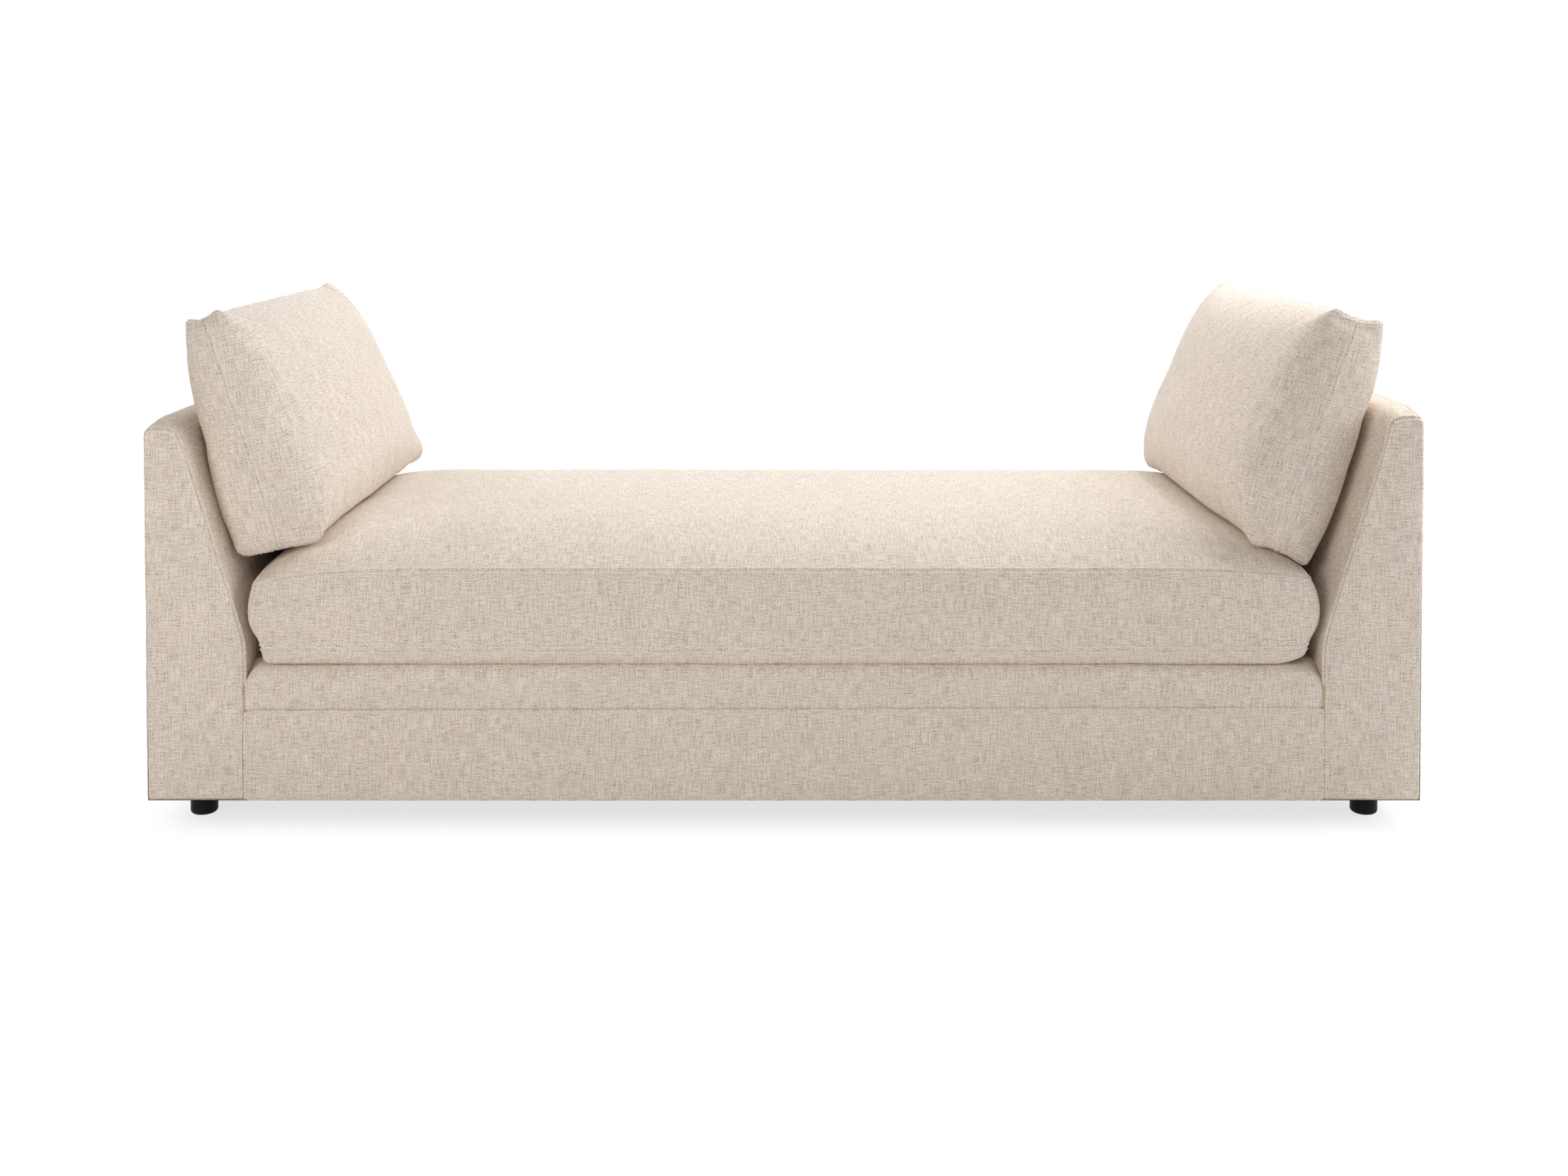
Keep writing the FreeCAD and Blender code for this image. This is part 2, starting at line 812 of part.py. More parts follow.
def seat_outline(share, inset):
    """The cushion's outline across its length, at a share of the way to its end."""
    near_end = abs(share) ** SEAT_END_POWER
    shoulders = abs(share) ** SEAT_SHOULDER_POWER
    crown = size("seat_crown").value * (1 - (1 - SEAT_CROWN_AT_END) * abs(share) ** SEAT_CROWN_POWER)
    corner = size("seat_corner").value
    shoulder = size("seat_shoulder").value
    low = seat_bottom.value + size("seat_end_rise").value * near_end + inset
    low_seam = seat_bottom.value + size("seat_low_seam").value + corner * near_end
    low_seam = max(low_seam, low + corner / 2)
    end_drop = size("seat_end_drop").value * shoulders
    top_seam = seat_bottom.value + size("seat_top_seam").value - end_drop - inset
    reach = seat_depth.value - SEAT_CORNER_DRAW_IN * corner * near_end - inset
    lift = SEAT_SHOULDER_LIFT * crown
    shoulder_bulge = SEAT_SHOULDER_BULGE * shoulder
    corner_bulge = SEAT_CORNER_BULGE * corner
    corners = [
        ((-(reach - corner), low), 0),
        ((reach - corner, low), corner_bulge),
        ((reach, low_seam), size("seat_back_bulge").value),
        ((reach, top_seam), shoulder_bulge),
        ((reach - shoulder, top_seam + lift), crown - lift),
        ((-(reach - shoulder), top_seam + lift), shoulder_bulge),
        ((-reach, top_seam), size("seat_front_bulge").value),
        ((-reach, low_seam), corner_bulge),
    ]
    x = share * (seat_half.value - inset)
    return closed_wire(corners, lambda y, z: Vector(x, y, z))


def seat_solid(inset):
    return loft([seat_outline(share, inset) for share in both_ways(SEAT_STATIONS)])


def make_seat():
    """Cover, foam core and zip of the seat cushion. The zip lies in the back of the boxing."""
    outside = feature("seat_outside", seat_solid(0))
    inside = feature("seat_inside", seat_solid(cover.value))
    shell = cut("seat_shell", outside, inside)
    zip_face = seat_depth + size("seat_back_bulge")
    low = (-size("zip_length") / 2, zip_face - cover, seat_middle - size("zip_width") / 2)
    high = (size("zip_length") / 2, zip_face + cover, seat_middle + size("zip_width") / 2)
    slot = box("seat_zip_slot", (low[0], low[1] - cover, low[2]), high)
    keep(cut("seat_cushion_cover", shell, slot), "cloth")
    keep(feature("seat_cushion_core", seat_solid(cover.value + size("fill_clearance").value)), "foam")
    keep(box("seat_cushion_zip", low, (high[0], zip_face, high[2])), "zip")
    start = zip_face + size("slider_gap")
    thickness = size("slider_thickness")
    x = -size("zip_length") / 2
    half = size("slider_height") / 2
    low = (x, start, seat_middle - half)
    body = box("seat_slider_body", low, (x + size("slider_length"), start + thickness, seat_middle + half))
    tab_y = start + (thickness - size("tab_thickness"))
    tab_x = x + (size("slider_length") - size("tab_width")) / 2
    low = (tab_x, tab_y, seat_middle - half - size("tab_length"))
    high = (tab_x + size("tab_width"), tab_y + size("tab_thickness"), seat_middle - half)
    keep(fuse("seat_cushion_zip_slider", [body, box("seat_slider_tab", low, high)]), "zip_metal")


seat_end_top = seat_bottom + size("seat_top_seam") - size("seat_end_drop")
lean = math.atan(slope.value)


def pillow_foot():
    """The lower outer corner of a pillow: its distance from the middle, and its height."""
    height = seat_end_top + size("pillow_rise") + size("pillow_foot") + cover
    return slope_x(height, 0) - size("pillow_foot") * slope_stretch, height


def pillow_outline(share, inset, sign):
    """A pillow's outline across its length. Flat places are distance from the arm, and way up it."""
    fullness = 1 - abs(share) ** PILLOW_END_POWER
    end_share = size("pillow_end_share").value
    swell = end_share + (1 - end_share) * fullness
    foot = size("pillow_foot").value
    foot_width = size("pillow_foot_width").value
    head = size("pillow_head").value
    head_width = size("pillow_head_width").value
    height = size("pillow_height").value - size("pillow_draw_in").value * fullness
    tilt = foot_width * math.sin(lean) * PILLOW_FOOT_LEVEL
    corners = [
        ((foot + inset, inset), size("pillow_outer_bulge").value * swell),
        ((head + inset, height - inset), size("pillow_head_bulge").value * swell),
        ((head + head_width - inset, height - inset), size("pillow_inner_bulge").value * swell),
        ((foot + foot_width - inset, inset - tilt), size("pillow_foot_bulge").value * swell),
    ]
    foot_x_place, foot_z = pillow_foot()
    base_x = foot_x_place.value + foot * math.cos(lean)
    base_z = foot_z.value - foot * math.sin(lean)
    y = share * (size("pillow_length").value / 2 - inset)

    def to_space(away, up):
        x = base_x + up * math.sin(lean) - away * math.cos(lean)
        z = base_z + up * math.cos(lean) + away * math.sin(lean)
        return Vector(sign * x, y, z)

    flipped = [(corner, -bulge) for corner, bulge in corners]
    return closed_wire(flipped, to_space)


def pillow_solid(inset, sign):
    return loft([pillow_outline(share, inset, sign) for share in both_ways(PILLOW_STATIONS)])


def make_pillow(side, sign):
    """Cover, insert and zip of a pillow. The zip hangs from its lower outer seam."""
    outside = feature(f"{side}_pillow_outside", pillow_solid(0, sign))
    inside = feature(f"{side}_pillow_inside", pillow_solid(cover.value, sign))
    keep(cut(f"{side}_pillow_cover", outside, inside), "cloth")
    insert = pillow_solid(cover.value + size("fill_clearance").value, sign)
    keep(feature(f"{side}_pillow_insert", insert), "fill")
    seam_x, seam_z = pillow_foot()
    half_tape = size("pillow_zip_thickness") / 2
    x = between(sign, seam_x - half_tape, seam_x + half_tape)
    half_zip = size("pillow_zip_length") / 2
    low = (x[0], -half_zip, seam_z - size("pillow_zip_drop"))
    keep(box(f"{side}_pillow_zip", low, (x[1], half_zip, seam_z)), "zip")
    gap = size("slider_gap")
    wall = size("slider_wall")
    bottom = seam_z - size("pillow_zip_drop") - gap - wall
    low = (x[0] - gap - wall, -half_zip, bottom)
    high = (x[1] + gap + wall, -half_zip + size("slider_length"), bottom + size("slider_height"))
    block = box(f"{side}_slider_block", low, high)
    low = (x[0] - gap, -half_zip, bottom + wall)
    high = (x[1] + gap, -half_zip + size("slider_length"), bottom + size("slider_height"))
    groove = box(f"{side}_slider_groove", low, high)
    body = cut(f"{side}_slider_body", block, groove)
    middle = sign * seam_x
    tab_y = -half_zip + (size("slider_length") - size("tab_width")) / 2
    low = (middle - size("tab_thickness") / 2, tab_y, bottom - size("tab_length"))
    high = (middle + size("tab_thickness") / 2, tab_y + size("tab_width"), bottom)
    tab = box(f"{side}_slider_tab", low, high)
    keep(fuse(f"{side}_pillow_zip_slider", [body, tab]), "zip_metal")


# The whole divan, in the order it is built up

kept = []


def keep(thing, finish):
    """Marks an object as a sub-part, with the finish that it has."""
    kept.append((thing, finish))


def make_all():
    screws = make_screws()
    make_long_rails(screws)
    keep(group("frame_screws", screws["front"] + screws["back"]), "steel")
    make_end_rails()
    make_cross_rails()
    make_corner_blocks()
    for side, sign in SIDES.items():
        make_arm_panels(side, sign)
        make_arm_rails(side, sign)
        make_arm_boards(side, sign)
        make_arm_foam(side, sign)
        make_arm_cover(side, sign)
        make_arm_facings(side, sign)
    make_springs()
    make_clips()
    make_tie_wires()
    make_deck()
    make_rolls()
    make_dust_cover()
    make_feet()
    make_seat()
    for side, sign in SIDES.items():
        make_pillow(side, sign)
    doc.recompute()


def check_all():
    for thing in doc.Objects:
        if "Invalid" in thing.State or "Error" in thing.State:
            raise RuntimeError(f"{thing.Label} did not compute: {thing.State}")
    for thing, finish in kept:
        if thing.Shape.isNull() or not thing.Shape.isValid() or not thing.Shape.Solids:
            raise RuntimeError(f"{thing.Label} has no sound solid")


def write_all():
    os.makedirs("parts", exist_ok=True)
    for thing, finish in kept:
        thing.Shape.exportStep(f"parts/{thing.Label}.step")
        solids = len(thing.Shape.Solids)
        print(f"{thing.Label:28s} {finish:12s} {solids:3d} {thing.Shape.Volume / 1e6:10.4f} l")
    print(len(kept), "nodes")


make_all()
check_all()
write_all()
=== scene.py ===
import json
import math
from contextlib import contextmanager

import bmesh
import bpy
import numpy as np
from bpy.props import FloatProperty, FloatVectorProperty
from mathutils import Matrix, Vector, noise
from mathutils.bvhtree import BVHTree
from mathutils.kdtree import KDTree


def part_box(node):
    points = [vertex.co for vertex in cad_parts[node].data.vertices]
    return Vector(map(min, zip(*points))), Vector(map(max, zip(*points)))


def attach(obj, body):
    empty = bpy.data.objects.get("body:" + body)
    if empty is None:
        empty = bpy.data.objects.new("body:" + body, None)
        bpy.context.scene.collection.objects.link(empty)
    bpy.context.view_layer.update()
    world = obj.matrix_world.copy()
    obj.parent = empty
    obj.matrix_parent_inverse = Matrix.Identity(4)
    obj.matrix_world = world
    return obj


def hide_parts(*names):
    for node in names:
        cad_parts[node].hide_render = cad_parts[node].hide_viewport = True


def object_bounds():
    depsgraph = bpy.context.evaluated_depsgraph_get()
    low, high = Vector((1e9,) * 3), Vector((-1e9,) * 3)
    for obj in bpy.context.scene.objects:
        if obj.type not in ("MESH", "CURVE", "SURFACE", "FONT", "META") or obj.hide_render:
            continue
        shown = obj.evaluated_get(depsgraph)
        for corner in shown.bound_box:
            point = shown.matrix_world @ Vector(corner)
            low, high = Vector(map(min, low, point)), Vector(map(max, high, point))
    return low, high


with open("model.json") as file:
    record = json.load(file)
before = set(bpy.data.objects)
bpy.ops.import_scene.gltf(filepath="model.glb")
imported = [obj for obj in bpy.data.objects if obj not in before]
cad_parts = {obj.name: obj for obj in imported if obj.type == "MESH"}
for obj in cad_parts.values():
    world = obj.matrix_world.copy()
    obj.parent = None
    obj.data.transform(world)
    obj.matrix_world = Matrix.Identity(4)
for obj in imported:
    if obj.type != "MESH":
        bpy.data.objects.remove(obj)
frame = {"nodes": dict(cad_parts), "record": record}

bl_info = {
    "name": "Backless divan",
    "version": (1, 0, 0),
    "blender": (4, 5, 0),
    "location": "View3D > Sidebar > Divan",
    "description": "Upholsters a backless divan with a loose seat cushion and two pillows",
    "category": "Add Mesh",
}

SIDES = {"left": -1, "right": 1}
ENDS = {"front": -1, "back": 1}
CAD_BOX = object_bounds()
WEAVE_MAP = "weave"
NEAR = 1e-4  # two places closer than this are the same, in metres
HAIR = 1e-5  # a point this close to a plane of its box lies on it, in metres

# Places taken from the frame, in metres
ARM_LOW, ARM_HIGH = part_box("right_arm_cover")
FACING_LOW, FACING_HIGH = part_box("right_arm_front_facing")
BAND_LOW, BAND_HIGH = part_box("front_band_cover")
PANEL_LOW, PANEL_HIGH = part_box("front_panel_cover")
SEAT_LOW, SEAT_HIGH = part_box("seat_cushion_cover")


def length(name, words, default):
    """A size in metres."""
    return FloatProperty(name=name, description=words, default=default, unit="LENGTH",
                         precision=4)


def tint(name, words, default):
    """A linear colour."""
    return FloatVectorProperty(name=name, description=words, default=default, subtype="COLOR",
                               size=3, min=0, max=1)


class DivanSizes(bpy.types.PropertyGroup):
    """Sizes that a user would change."""

    cell: length("Cloth cell", "Side of a square of cloth before it is smoothed", 0.0125)
    seat_cell: length("Seat cell", "Side of a square of the seat cushion's cloth", 0.0145)
    cloth: length("Cloth", "Thickness of the cloth", 0.002)
    arm_top_width: length("Arm top", "Width of the flat top of an arm", FACING_HIGH.x - 1.088)
    arm_slope_start: length("Slope start", "Height at which the arm's inner face starts to lean",
                          0.336)
    arm_round: length("Arm round", "Radius of the arm's inner top edge", 0.03)
    arm_outer_round: length("Outer round", "Radius of the arm's outer top edge", 0.012)
    arm_swell: length("Arm swell", "How far the padding rises above the arm's end seams", 0.011)
    arm_swell_reach: length("Swell reach", "How far from the end seams the padding is full", 0.1)
    seam_reach: length("Seam reach", "Distance from a seam to its rows of stitches", 0.0042)
    seam_groove: length("Seam groove", "Depth of the groove along a seam", 0.0015)
    seam_ridge: length("Seam ridge", "Height of the folded cloth beside a seam", 0.0012)
    seam_pucker: length("Seam pucker", "Height of the ripples along a seam", 0.0009)
    stitch_pitch: length("Stitch pitch", "Distance from one stitch to the next", 0.005)
    stitch_length: length("Stitch length", "Length of the thread that shows in a stitch", 0.0036)
    stitch_width: length("Stitch width", "Width of the thread that shows in a stitch", 0.0022)
    seat_low_seam: length("Low seam", "Height of the seat cushion's low seam", 0.327)
    seat_top_seam: length("Top seam", "Height of the seat cushion's top seam", 0.4646)
    seat_crown: length("Seat crown", "Rise of the seat cushion above its top seam", 0.055)
    seat_bulge: length("Seat bulge", "Bulge of the seat cushion's sides", 0.014)
    pillow_half: length("Pillow half", "Half the length of a pillow between its ears", 0.408)


class DivanColours(bpy.types.PropertyGroup):
    """Colours that a user would change."""

    cloth: tint("Cloth", "Upholstery cloth", (0.85, 0.752, 0.65))
    cloth_dark: tint("Dark yarn", "Dark flecks in the upholstery cloth", (0.41, 0.31, 0.24))
    cloth_pale: tint("Pale yarn", "Pale flecks in the upholstery cloth", (0.97, 0.89, 0.81))
    thread: tint("Thread", "Stitches", (1.0, 0.95, 0.87))
    plastic: tint("Plastic", "Feet", (0.004, 0.004, 0.0045))
    floor: tint("Floor", "Floor", (0.82, 0.82, 0.82))


def sizes():
    """The sizes as they are set in this scene."""
    return bpy.context.scene.divan_sizes


def colours():
    """The colours as they are set in this scene."""
    return bpy.context.scene.divan_colours


# Selecting and editing


def deselect():
    bpy.ops.object.select_all(action="DESELECT")


def activate(piece):
    """Selects one piece only."""
    deselect()
    piece.select_set(True)
    bpy.context.view_layer.objects.active = piece


@contextmanager
def editing(piece, kind="VERT"):
    """Edit mode with nothing selected, giving the mesh to select in."""
    activate(piece)
    bpy.ops.object.mode_set(mode="EDIT")
    bpy.ops.mesh.select_mode(type=kind)
    bpy.ops.mesh.select_all(action="DESELECT")
    yield bmesh.from_edit_mesh(piece.data)
    bpy.ops.object.mode_set(mode="OBJECT")


def pick(mesh, parts, test):
    """Selects the faces or edges that pass a test."""
    for part in parts:
        if test(part):
            part.select_set(True)
    mesh.select_flush_mode()


def apply_modifier(piece, kind, **settings):
    """Adds a modifier, sets it up and applies it."""
    activate(piece)
    modifier = piece.modifiers.new(kind.title(), kind)
    for name, value in settings.items():
        setattr(modifier, name, value)
    bpy.ops.object.modifier_apply(modifier=modifier.name)


def subdivide(piece):
    """Smooths a piece's cloth once."""
    apply_modifier(piece, "SUBSURF", levels=1, render_levels=1)


def named(piece, name):
    """Names a piece and its mesh alike."""
    piece.name = name
    piece.data.name = name
    return piece


def add_box(name, low, high):
    """A cube between two corners, with its place in its mesh."""
    deselect()
    low = Vector(low)
    high = Vector(high)
    bpy.ops.mesh.primitive_cube_add(size=1, location=(low + high) / 2, scale=high - low)
    bpy.ops.object.transform_apply(location=True, rotation=True, scale=True)
    return named(bpy.context.active_object, name)


NEARLY_ALL = 0.99  # share of an edge's length that has to run along an axis


def split_along(piece, axis, cuts):
    """Slices the piece evenly along an axis."""
    with editing(piece, "EDGE") as mesh:
        def runs_along(edge):
            run = edge.verts[1].co - edge.verts[0].co
            return abs(run[axis]) > NEARLY_ALL * run.length

        pick(mesh, mesh.edges, runs_along)
        bpy.ops.mesh.subdivide(number_cuts=cuts)


def quilt(piece, spans, cell, even=()):
    """Slices a box into squares of cloth. Spans are the real lengths along its three axes."""
    for axis, span in enumerate(spans):
        cells = max(2, round(span / cell))
        cells += cells % 2 if axis in even else 0
        split_along(piece, axis, cells - 1)


# Points as arrays


def read_rows(rows, name):
    """A value of three numbers that each row of a mesh carries, as an array."""
    flat = np.empty(len(rows) * 3)
    rows.foreach_get(name, flat)
    return flat.reshape(-1, 3)


def points_of(piece):
    """The places of a piece's corners."""
    return read_rows(piece.data.vertices, "co")


def set_points(piece, points):
    """Moves a piece's corners."""
    places = np.ascontiguousarray(points, dtype=np.float32)
    piece.data.vertices.foreach_set("co", places.ravel())
    piece.data.update()


def normals_of(piece):
    """The way out of the cloth at each of a piece's corners."""
    return read_rows(piece.data.vertices, "normal")


def faces_of(piece):
    """The corners of each face, by number."""
    return [tuple(face.vertices) for face in piece.data.polygons]


def tree_of(piece):
    """A tree to find the nearest place on a piece."""
    return BVHTree.FromPolygons(points_of(piece).tolist(), faces_of(piece))


def repeated(name, faces, placed):
    """One piece of many copies of a shape, from its faces and the corners of each copy."""
    size = len(placed[0])
    all_faces = [tuple(corner + size * number for corner in face)
                 for number in range(len(placed)) for face in faces]
    mesh = bpy.data.meshes.new(name)
    mesh.from_pydata(np.concatenate(placed).tolist(), [], all_faces)
    piece = bpy.data.objects.new(name, mesh)
    bpy.context.scene.collection.objects.link(piece)
    return piece


def face_axes(piece):
    """The axis that each face of a box looks along, and which way."""
    normals = read_rows(piece.data.polygons, "normal")
    axes = np.abs(normals).argmax(axis=1)
    ways = np.sign(normals[np.arange(len(axes)), axes]).astype(int)
    return axes, ways


def lay_weave(piece, axes, points, level=None):
    """Lays the cloth's threads on the piece, in metres.

    Axes are those of the box's sides that the faces came from. Level faces may take their
    places from other points.
    """
    mesh = piece.data
    layer = mesh.uv_layers.get(WEAVE_MAP) or mesh.uv_layers.new(name=WEAVE_MAP)
    corners = np.empty(len(mesh.loops), dtype=np.int64)
    mesh.loops.foreach_get("vertex_index", corners)
    counts = np.empty(len(mesh.polygons), dtype=np.int64)
    mesh.polygons.foreach_get("loop_total", counts)
    side = np.repeat(axes, counts)
    spots = points[corners]
    if level is not None:
        spots = np.where((side == 2)[:, None], level[corners], spots)
    across = np.where(side == 0, spots[:, 1], spots[:, 0])
    along = np.where(side == 2, spots[:, 1], spots[:, 2])
    places = np.stack([across, along], axis=1).astype(np.float32)
    layer.data.foreach_set("uv", places.ravel())


def smoothstep(low, high, value):
    """Eases from 0 at low to 1 at high."""
    ratio = np.clip((value - low) / (high - low), 0, 1)
    return ratio * ratio * (3 - 2 * ratio)


SEED_STEP = Vector((1, 1.7, 2.3))  # how far a seed moves along a noise


def unevenness(points, wave, seed=0.0):
    """Smooth noise at each point, about -1 to 1, with the given wavelength in metres."""
    shift = SEED_STEP * seed
    return np.array([noise.noise(Vector(spot) / wave + shift) for spot in points])


def flag_seams(piece, test):
    """Marks the edges where two cloths meet, by a test of each edge's middle and run."""
    points = points_of(piece)
    for edge in piece.data.edges:
        first, last = points[edge.vertices[0]], points[edge.vertices[1]]
        edge.use_seam = bool(test((first + last) / 2, last - first))


def close(place, target):
    """Whether two places along an axis are the same."""
    return abs(place - target) < NEAR


def round_corner(across, up, corner, normals, radius):
    """Rounds a corner of an outline and draws in what lies inside it.

    Normals are those of the corner's two sides.
    """
    first, second = (np.array(normal, float) for normal in normals)
    centre = np.array(corner, float) - (first + second) * radius / (1 + first @ second)
    offset = np.stack([across, up], axis=1) - centre
    reach = np.linalg.norm(offset, axis=1) + 1e-12
    matrix = np.linalg.inv(np.stack([first, second], axis=1))
    shares = offset @ matrix.T
    inside = (shares[:, 0] > 0) & (shares[:, 1] > 0)
    squeeze = np.maximum(offset @ first, offset @ second) / reach
    offset[inside] *= squeeze[inside, None]
    return centre[0] + offset[:, 0], centre[1] + offset[:, 1]


# Creases in each piece's cloth: depth, half width, and the places that each one runs through
CREASES = {
    "left_pillow": (
        (0.0035, 0.013, ((-1.0, -0.103, 0.914), (-0.94, -0.036, 0.873), (-0.917, 0.07, 0.839))),
        (0.0020, 0.008, ((-1.02, 0.05, 0.918), (-0.989, 0.172, 0.911), (-0.949, 0.178, 0.881))),
        (0.0040, 0.0055, ((-0.926, -0.425, 0.532), (-0.915, -0.416, 0.508), (-0.91, -0.4, 0.482))),
        (0.0035, 0.0055,
         ((-0.912, -0.424, 0.535), (-0.901, -0.415, 0.512), (-0.898, -0.4, 0.486))),
    ),
    "right_pillow": (
        (0.0040, 0.008, ((1.003, -0.407, 0.917), (1.036, -0.411, 0.9), (1.074, -0.409, 0.886))),
        (0.0025, 0.007, ((0.94, 0.023, 0.9), (0.972, 0.029, 0.918))),
        (0.0035, 0.0055, ((0.878, -0.41, 0.486), (0.884, -0.42, 0.512))),
    ),
    "seat_cushion": (
        (0.0050, 0.012, ((0.762, -0.306, 0.52), (0.777, -0.351, 0.512), (0.784, -0.42, 0.484))),
        (0.0040, 0.012, ((0.784, -0.42, 0.484), (0.811, -0.435, 0.475), (0.873, -0.45, 0.463))),
    ),
}


def press_creases(piece):
    """Presses a piece's creases into its cloth."""
    points = points_of(piece)
    normals = normals_of(piece)
    depth = np.zeros(len(points))
    for deepest, width, spots in CREASES[piece.name]:
        for start, end in zip(np.array(spots), np.array(spots[1:])):
            run = end - start
            way = np.clip((points - start) @ run / (run @ run), 0, 1)
            gap = np.linalg.norm(points - start - way[:, None] * run, axis=1)
            depth = np.maximum(depth, deepest * np.exp(-((gap / width) ** 2)))
    set_points(piece, points - normals * depth[:, None])


# Sewing


def seam_chains(piece):
    """Follows the marked edges. Gives each chain's points, and the ways into the cloth."""
    mesh = bmesh.new()
    mesh.from_mesh(piece.data)
    mesh.verts.ensure_lookup_table()
    seams = {edge for edge in mesh.edges if edge.seam}
    at = {}
    for edge in seams:
        for vert in edge.verts:
            at.setdefault(vert.index, []).append(edge)
    chains = []
    starts = [vert for vert, edges in at.items() if len(edges) != 2] + list(at)
    for start in starts:
        for first in at[start]:
            if first in seams:
                chains.append(follow(mesh, at, seams, start, first))
    mesh.free()
    return chains


def follow(mesh, at, seams, start, edge):
    """One chain of seam edges, with the way into the cloth on its left and right."""
    spots = [mesh.verts[start].co.copy()]
    lefts, rights = [], []
    vert = mesh.verts[start]
    while edge is not None:
        seams.discard(edge)
        after = edge.other_vert(vert)
        run = (after.co - vert.co).normalized()
        middle = (after.co + vert.co) / 2
        sides = {1: Vector(), -1: Vector()}
        for face in edge.link_faces:
            inward = face.calc_center_median() - middle
            inward -= run * inward.dot(run)
            sides[1 if face.normal.cross(run).dot(inward) > 0 else -1] += inward.normalized()
        lefts.append(sides[1].normalized())
        rights.append(sides[-1].normalized())
        spots.append(after.co.copy())
        vert = after
        onward = [other for other in at[vert.index] if other in seams]
        edge = onward[0] if len(at[vert.index]) == 2 and onward else None
    return np.array(spots), np.array(lefts), np.array(rights)


def along_chain(chain, pitch):
    """Even samples of a chain: points, ways into the cloth on both sides, distance run."""
    spots, lefts, rights = chain
    steps = np.linalg.norm(np.diff(spots, axis=0), axis=1)
    run = np.concatenate([[0], np.cumsum(steps)])
    middles = (run[1:] + run[:-1]) / 2
    places = np.arange(0, run[-1], pitch)

    def sample(values, at):
        return np.stack([np.interp(places, at, values[:, axis]) for axis in range(3)], axis=1)

    return sample(spots, run), sample(lefts, middles), sample(rights, middles), places


SEAM_STRIP = 0.0042  # half the width of the strips that a seam is cut into
GROOVE_HALF = 0.0014  # half the width of a seam's groove
RIDGE_GAP, RIDGE_HALF = 0.0035, 0.0028  # how far the ridges stand off a seam, and half their width
RIPPLE_REACH = 0.024  # how far the ripples run out beside a seam
RIPPLES = ((0.021, 1.0), (0.009, 0.6))  # length and strength of the ripples


def press_seams(piece, pucker_share=1.0):
    """Cuts strips along the seams, and presses a groove, two ridges and ripples into them."""
    chains = seam_chains(piece)
    with editing(piece, "EDGE") as mesh:
        pick(mesh, mesh.edges, lambda edge: edge.seam)
        bpy.ops.mesh.bevel(offset=SEAM_STRIP, segments=4, profile=0.5, affect="EDGES",
                           clamp_overlap=True)
    samples = np.concatenate([along_chain(chain, SEAM_STRIP / 2)[0] for chain in chains])
    tree = KDTree(len(samples))
    for index, spot in enumerate(samples):
        tree.insert(spot, index)
    tree.balance()
    s = sizes()
    points = points_of(piece)
    normals = normals_of(piece)

    def bell(offset, half):
        return math.exp(-((offset / half) ** 2))

    for index, spot in enumerate(points):
        nearest, _, gap = tree.find(spot)
        if gap > 2 * RIPPLE_REACH:
            continue
        waves = sum(strength * noise.noise(nearest / wave) for wave, strength in RIPPLES)
        rise = s.seam_ridge * bell(gap - RIDGE_GAP, RIDGE_HALF)
        rise -= s.seam_groove * bell(gap, GROOVE_HALF)
        rise += s.seam_pucker * pucker_share * waves * bell(gap, RIPPLE_REACH)
        points[index] += normals[index] * rise
    set_points(piece, points)
    return chains


def stitch_shape():
    """The corners and faces of one stitch, a short six-sided bead."""
    deselect()
    bpy.ops.mesh.primitive_uv_sphere_add(segments=6, ring_count=4, radius=0.5)
    bead = bpy.context.active_object
    corners = points_of(bead)[:, [2, 0, 1]]
    faces = faces_of(bead)
    bpy.data.objects.remove(bead)
    return corners, faces


STITCH_FLAT = 0.7  # a stitch's height as a share of its width
STITCH_RAISE = 0.25  # how far its middle stands off the cloth, as a share of its width
ROW_TRIM = 0.004  # length at a seam's ends without stitches
ROW_SEARCH = 0.03  # how far from a seam its cloth is looked for
STITCH_GAPS = (0.3, 2)  # least and most distance between stitches, as shares of the pitch


def sew_rows(name, surfaces, chains, shows=lambda spot: True):
    """Rows of stitches on both sides of each chain, laid on the surfaces where they show."""
    s = sizes()
    trees = [tree_of(surface) for surface in surfaces]
    corners, faces = stitch_shape()
    size = np.array([s.stitch_length, s.stitch_width, STITCH_FLAT * s.stitch_width])
    least, most = (share * s.stitch_pitch for share in STITCH_GAPS)
    placed = []

    def on_cloth(spot, way, far, end):
        if np.linalg.norm(way) < 0.1 or not ROW_TRIM <= far <= end - ROW_TRIM:
            return None
        target = Vector(spot + way * s.seam_reach)
        hits = [tree.find_nearest(target, ROW_SEARCH) for tree in trees]
        return min((hit for hit in hits if hit[0] is not None), key=lambda hit: hit[3],
                   default=None)

    for chain in chains:
        spots, lefts, rights, run = along_chain(chain, s.stitch_pitch)
        for inward in (lefts, rights):
            row = [on_cloth(spot, way, far, run[-1])
                   for spot, way, far in zip(spots, inward, run)]
            for here, after in zip(row, row[1:]):
                if here is None or after is None or not shows(here[0]):
                    continue
                along = after[0] - here[0]
                if not least < along.length < most:
                    continue
                up = here[1].normalized()
                along = (along - up * along.dot(up)).normalized()
                basis = np.array([along, up.cross(along), up])
                middle = np.array(here[0] + up * STITCH_RAISE * s.stitch_width)
                placed.append((corners * size) @ basis + middle)
    return smooth(repeated(name, faces, placed))


def smooth(piece, angle=None):
    """Shades a piece smooth, or smooth up to an angle in degrees."""
    activate(piece)
    if angle is None:
        bpy.ops.object.shade_smooth()
    else:
        bpy.ops.object.shade_smooth_by_angle(angle=math.radians(angle))
    return piece


